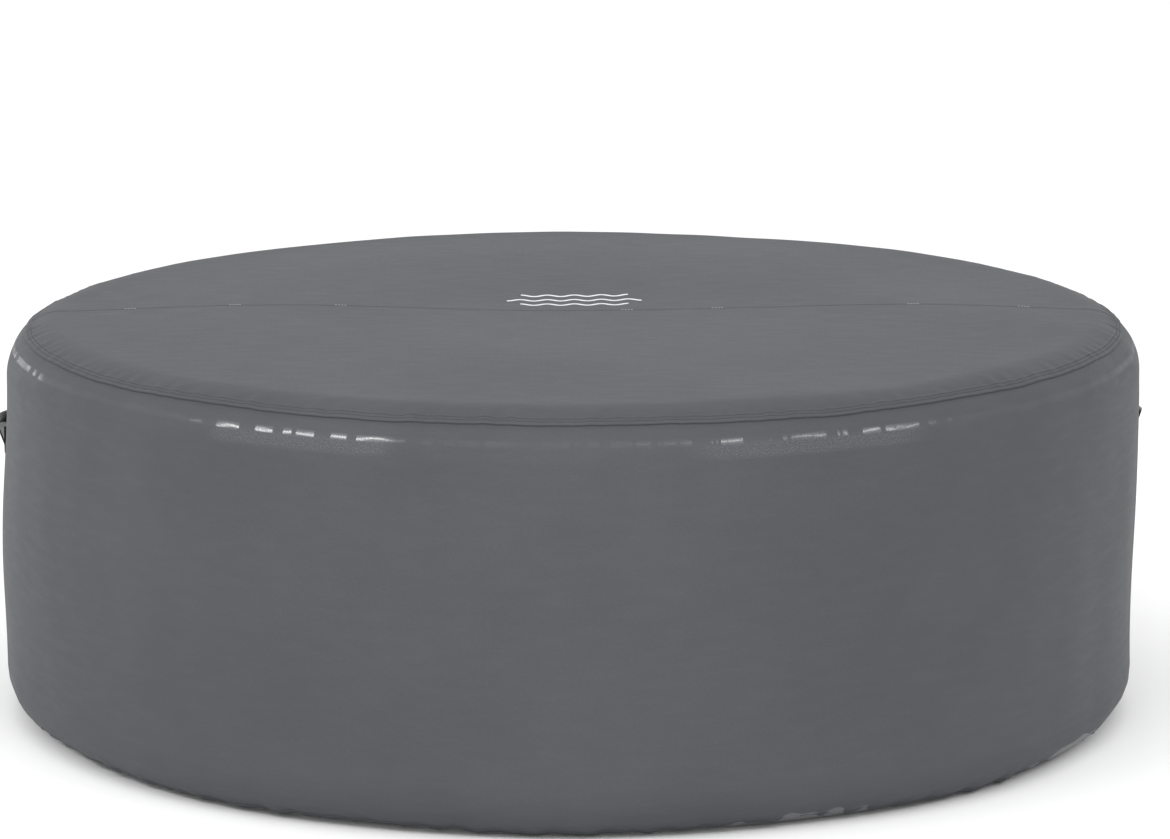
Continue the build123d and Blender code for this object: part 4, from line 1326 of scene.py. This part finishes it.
# ------------------------------------------------------------------ the inflated tub
@dataclass
class Tub:
    """The inflated wall, floor and bubble channel."""

    radius: float = 0.980
    inner: float = 0.725
    height: float = 0.692
    webs: int = 20
    segments: int = 720
    body: str = "tub"

    def wall(
        self, name: str, profile: list[Pair], dent: float, material: bpy.types.Material, slot: str
    ) -> bpy.types.Object:
        """A turned skin that dips where the upright webs hold it.

        Args:
            name: the piece's name.
            profile: (radius, height) points.
            dent: depth of the dips, in metres, towards the wall's middle.
            material: its finish.
            slot: handed to MeshData.piece, which doesn't use it.

        Returns:
            The piece.
        """
        grid = lathe(profile, self.segments)
        angles = np.linspace(0, TAU, self.segments, endpoint=False)
        cell = (angles * self.webs / TAU + 0.5) % 1.0
        dip = np.exp(-((np.minimum(cell, 1 - cell) / 0.085) ** 2)) + 0.35 * (1 - np.sin(math.pi * cell))
        line = np.array(profile)
        tall = np.clip(np.minimum((line[:, 1] - 0.04) / 0.08, (0.64 - line[:, 1]) / 0.06), 0, 1)
        push = dent * dip[None, :] * tall[:, None]
        r = np.hypot(grid[..., 0], grid[..., 1])
        grid[..., :2] *= ((r - push) / r)[..., None]
        data = MeshData()
        data.add_grid(grid, True, None, False)
        return data.piece(name, material, self.body, slot)

    def build(self) -> list[bpy.types.Object]:
        """Builds the tub's soft parts."""
        dark = Vinyl("wall_vinyl", (0.105, 0.108, 0.115), 300, 0.0003, 0.40).build()
        pale = Vinyl("inner_vinyl", (0.50, 0.55, 0.58), 500, 0.00015, 0.34, 0.35).build()
        mid = (self.radius + self.inner) / 2
        top = self.height
        outer = [(0.885, 0.0), (self.radius, 0.0), (self.radius, top), (0.905, top)]
        outer = self.divided(rounded(outer, (0, 0.072, 0.084, 0), 14), 0.02)
        rim = [(0.9055, top - 0.0002), (mid, top + 0.0004), (0.7795, top - 0.0002)]
        rim = self.divided(rim, 0.02)
        inner = [(0.780, top), (self.inner, top), (self.inner, 0.004)]
        inner = self.divided(rounded(inner, (0, 0.055, 0), 12), 0.02)
        pieces = [
            self.wall("outer_skin", outer, 0.0065, dark, "wall_sheet"),
            self.wall("rim_skin", rim, 0.0, dark, "wall_sheet"),
            self.wall("inner_skin", inner, -0.0065, pale, "inner_sheet"),
        ]
        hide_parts("tub_outer_wall", "wall_webs")
        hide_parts("tub_top_rim")
        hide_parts("tub_inner_wall")
        base = MeshData()
        folded = [(0.0, 0.0), (0.5, 0.0), (0.9, 0.0), (0.912, 0.0008), (0.905, 0.0018)]
        base.add_grid(lathe(folded, 240), True)
        black = Vinyl("ground_vinyl", (0.05, 0.05, 0.055), 260).build()
        ground = base.piece("ground_sheet", black, self.body, "base_sheet")
        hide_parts("tub_base_sheet")
        return [*pieces, ground, self.floor(), self.channel(pale)]

    @staticmethod
    def divided(line: list[Pair], step: float) -> list[Pair]:
        """An outline with long runs divided."""
        made = []
        for (x0, y0), (x1, y1) in zip(line, line[1:]):
            count = max(1, int(math.hypot(x1 - x0, y1 - y0) / step))
            made += [(x0 + (x1 - x0) * k / count, y0 + (y1 - y0) * k / count) for k in range(count)]
        return [*made, line[-1]]

    def floor(self) -> bpy.types.Object:
        """The padded floor with its welded honeycomb."""
        rim = 0.674
        rings = np.linspace(0.0, rim, 150)
        angles = np.linspace(0, TAU, 540, endpoint=False)
        r, a = np.meshgrid(rings, angles, indexing="ij")
        x, y = r * np.sin(a), -r * np.cos(a)
        puff = np.ones_like(x)
        for turn in (0.0, math.pi / 3, 2 * math.pi / 3):
            puff *= np.abs(np.sin((x * math.cos(turn) + y * math.sin(turn)) * math.pi / 0.085)) ** 0.35
        edge = np.clip((rim - r) / 0.03, 0, 1) ** 0.5
        z = 0.009 + 0.007 * puff * edge
        data = MeshData()
        data.add_grid(np.stack([x, y, z], -1), True, None, True)
        vinyl = Vinyl("floor_vinyl", (0.46, 0.52, 0.56), 600, 0.0001, 0.36).build()
        piece = data.piece("floor_cushion", vinyl, self.body, "pad")
        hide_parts("floor_pad")
        return piece

    def channel(self, sheet: bpy.types.Material) -> bpy.types.Object:
        """The bubble channel round the floor."""
        line = rounded([(0.6755, 0.0165), (0.6755, 0.056), (0.7245, 0.056)], (0, 0.016, 0), 8)
        data = MeshData()
        data.add_grid(lathe(self.divided(line, 0.006), 540), True, None, True)
        ring = data.piece("channel_skin", sheet, self.body, "inner_sheet")
        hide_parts("bubble_channel")
        return ring


# ------------------------------------------------------------------ hard parts
class Hard(Enum):
    """The finishes of the moulded and metal parts."""

    PORT = Moulded("port_plastic", (0.050, 0.051, 0.055), 0.42)
    WHITE = Moulded("white_plastic", (0.74, 0.75, 0.75), 0.35)
    CASE = Moulded("case_plastic", (0.062, 0.064, 0.070), 0.40, 900, 0.00012)
    LID = Moulded("case_top_plastic", (0.30, 0.31, 0.33), 0.32, 1200, 0.00005)
    PANEL = Moulded("panel_overlay", (0.008, 0.008, 0.010), 0.16, 1500, 0.00001, 0.0, 0.6)
    KEY = Moulded("key_rubber", (0.16, 0.165, 0.175), 0.55, 800, 0.00006)
    RUBBER = Moulded("black_rubber", (0.012, 0.012, 0.013), 0.65, 700, 0.0001)
    STEEL = Moulded("drawn_steel", (0.55, 0.55, 0.56), 0.26, 300, 0.00003, 1.0)
    MOTOR = Moulded("motor_paint", (0.030, 0.032, 0.036), 0.38, 500, 0.00008)
    BOARD = Moulded("board_resin", (0.012, 0.085, 0.040), 0.35)


@dataclass
class HardParts:
    """Gives every CAD node that keeps its own shape a detailed finish."""

    groups: dict[Hard, str] = field(
        default_factory=lambda: {
            Hard.PORT: "port_plate_outside port_plate_inside wall_lock_rings air_valve air_valve_cap"
            " drain_valve drain_cap hand_nut_inlet hand_nut_outlet hand_nut_air blower_housing blower_wheel",
            Hard.WHITE: "wall_pipes air_duct filter_housing filter_cap outlet_screen bubble_nozzles"
            " pump_volute pump_pipes impeller cushion_valve",
            Hard.CASE: "pump_base_tray pump_housing",
            Hard.LID: "pump_top_cover",
            Hard.PANEL: "control_panel",
            Hard.KEY: "button_power button_heat button_filter button_bubbles",
            Hard.RUBBER: "pump_feet cable_gland port_seals",
            Hard.STEEL: "heater_tank heating_rods",
            Hard.MOTOR: "circulation_motor",
            Hard.BOARD: "control_board",
        }
    )

    def dress(self) -> int:
        """Assigns the finishes.

        Returns:
            How many nodes were dressed.
        """
        materials = {"filter_cartridge": Pleated().build()}
        for kind, nodes in self.groups.items():
            materials |= dict.fromkeys(nodes.split(), kind.value.build())
        for node, material in materials.items():
            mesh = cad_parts[node].data
            mesh.materials.clear()
            mesh.materials.append(material)
            mesh.polygons.foreach_set("material_index", np.zeros(len(mesh.polygons), np.int32))
        return len(materials)


@dataclass
class LidPocket:
    """The pocket under the cover's top and the air cushion that it holds."""

    radius: float = 0.7135
    low: float = 0.6045
    body: str = "cover"

    def build(self) -> list[bpy.types.Object]:
        """Builds the pocket's skin and the cushion in it."""
        foil = Foil("pocket_foil", (0.62, 0.63, 0.65)).build()
        corners = [(0.0, self.low - 0.002), (self.radius, self.low), (self.radius, 0.697)]
        grid = lathe(Tub.divided(rounded(corners, (0, 0.022, 0), 8), 0.02), 360)
        a = np.linspace(0, TAU, 360, endpoint=False)
        r = np.hypot(grid[..., 0], grid[..., 1])
        waves = np.cos(r * TAU / 0.2) * 0.002 + 0.0006 * Ripple(31, 20, 70, 8, 20).at(a[None, :], r)
        grid[..., 2] -= np.clip(waves, -0.002, 0.004) * np.clip((0.70 - r) / 0.03, 0, 1)
        data = MeshData()
        data.add_grid(grid, True, None, False)
        pocket = data.piece("pocket_skin", foil, self.body, "foil")
        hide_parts("cushion_pocket")
        return [pocket, self.cushion()]

    def cushion(self) -> bpy.types.Object:
        """The inflated lid cushion, crowned between its welded rings."""
        low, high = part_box("lid_cushion")
        radius, bottom, top = high[0] - 0.001, low[2] + 0.001, high[2] - 0.001
        half = (top - bottom) / 2
        edge = np.linspace(-math.pi / 2, math.pi / 2, 13)
        reach = np.linspace(0.0, radius - half, 60)
        welds = (0.5 + 0.5 * np.cos(reach * TAU / 0.17)) ** 3
        dip = 0.006 * welds * np.clip((radius - half - reach) / 0.05, 0, 1)
        under = [(r, bottom + d) for r, d in zip(reach, dip)]
        side = [(radius - half + half * math.cos(t), bottom + half + half * math.sin(t)) for t in edge[1:-1]]
        over = [(r, top - d) for r, d in zip(reach[::-1], dip[::-1])]
        data = MeshData()
        data.add_grid(lathe([*under, *side, *over], 300), True)
        vinyl = Vinyl("cushion_vinyl", (0.30, 0.33, 0.36), 500, 0.0001, 0.38).build()
        piece = data.piece("lid_air_cushion", vinyl, self.body, "inner_sheet")
        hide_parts("lid_cushion", "lid_cushion_webs")
        return piece


# ------------------------------------------------------------------ studio
SHOULDER = (0.984, 0.650)  # radius and height of the cover where the strip lights are mirrored
STRIP_AWAY = 6.0
STRIP = (1.25, 0.20)


@dataclass
class Studio:
    """The floor, the soft lights and the camera."""

    distance: float = 8.95
    height: float = 2.225
    pitch: float = 0.1902
    yaw: float = -0.00210
    lens: float = 158.4
    tilt: float = math.radians(27.4)

    def build(self) -> None:
        """Adds everything that isn't part of the object."""
        self.floor()
        self.world()
        self.lights()
        self.camera()
        bpy.context.scene.view_settings.view_transform = "Standard"

    def floor(self) -> None:
        """A wide pale floor."""
        data = MeshData()
        span = np.linspace(-40, 40, 9)
        x, y = np.meshgrid(span, span)
        data.add_grid(np.stack([x, y, np.zeros_like(x)], -1))
        g = Graph("studio_floor")
        base = g.mix(g.noise(g.place(), 2, 2), (0.93, 0.93, 0.93), (0.96, 0.96, 0.96))
        data.piece("floor", g.finish({"Base Color": base, "Roughness": 0.9}))

    def world(self) -> None:
        """A white room."""
        world = bpy.data.worlds.new("studio")
        world.use_nodes = True
        bpy.context.scene.world = world
        background = world.node_tree.nodes["Background"]
        background.inputs["Color"].default_value = (1, 1, 1, 1)
        background.inputs["Strength"].default_value = 1.05

    def lights(self) -> None:
        """A broad overhead box, and narrow boxes that put highlights on the cover's shoulder."""
        self.area("top", (0.0, 0.5, 5.0), (0, 0, 0), (5.0, 5.0), 12)
        self.area("front", (0.0, -5.0, 5.2), (0, 0, 0.4), (5.0, 2.0), 95)
        self.area("low", (0.0, -6.0, 0.7), (0, 0, 0.1), (6.0, 1.0), 45)
        for start, end, count, watts in ((-38, -17, 5, 22), (9, 34, 5, 12), (-78, -68, 2, 2)):
            for k in range(count):
                azimuth = math.radians(start + (end - start) * k / (count - 1))
                reach, level = SHOULDER
                spot = Vector((reach * math.sin(azimuth), -reach * math.cos(azimuth), level))
                normal = Vector((math.sin(azimuth), -math.cos(azimuth), math.tan(self.tilt))).normalized()
                view = (Vector((0.0, -self.distance, self.height)) - spot).normalized()
                ray = 2 * normal.dot(view) * normal - view
                self.area(f"strip_{start}_{k}", spot + ray * STRIP_AWAY, spot, STRIP, watts)

    def area(self, name: str, place: Sequence[float], aim: Sequence[float], size: Pair, watts: float) -> None:
        """Adds a rectangular soft box.

        Args:
            name: its name.
            place: where it is.
            aim: what it points at.
            size: its width and height.
            watts: its power.
        """
        lamp = bpy.data.lights.new(name, "AREA")
        lamp.shape = "RECTANGLE"
        lamp.size, lamp.size_y = size
        lamp.energy = watts
        made = bpy.data.objects.new(name, lamp)
        made.location = place
        made.rotation_euler = (Vector(aim) - Vector(place)).to_track_quat("-Z", "Y").to_euler()
        made.visible_camera = False
        bpy.context.scene.collection.objects.link(made)

    def camera(self) -> None:
        """The camera, level across, looking slightly down."""
        data = bpy.data.cameras.new("camera")
        data.lens = self.lens
        data.sensor_width = 36.0
        made = bpy.data.objects.new("camera", data)
        made.location = (0.0, -self.distance, self.height)
        made.rotation_euler = (math.pi / 2 - self.pitch, 0.0, self.yaw)
        bpy.context.scene.collection.objects.link(made)
        bpy.context.scene.camera = made


def main() -> None:
    """Builds the scene in order."""
    logging.basicConfig(level=logging.INFO, format="%(name)s: %(message)s")
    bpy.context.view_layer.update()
    cover = Cover()
    groups: list[tuple[str, Callable[[], list[bpy.types.Object] | int | None]]] = [
        ("studio", Studio().build),
        ("cover", cover.build),
        ("left handle", Handle("left", cover.surface, 0.036).build),
        ("right handle", Handle("right", cover.surface, 0.036, turn=math.radians(12.0)).build),
        ("lid pocket", LidPocket().build),
        ("tub", Tub().build),
        ("hard parts", HardParts().dress),
    ]
    for name, make in groups:
        made = make()
        for piece in made if isinstance(made, list) else []:
            LOG.info("%s: %s, %d faces", name, piece.name, len(piece.data.polygons))


if __name__ == "__main__":
    main()
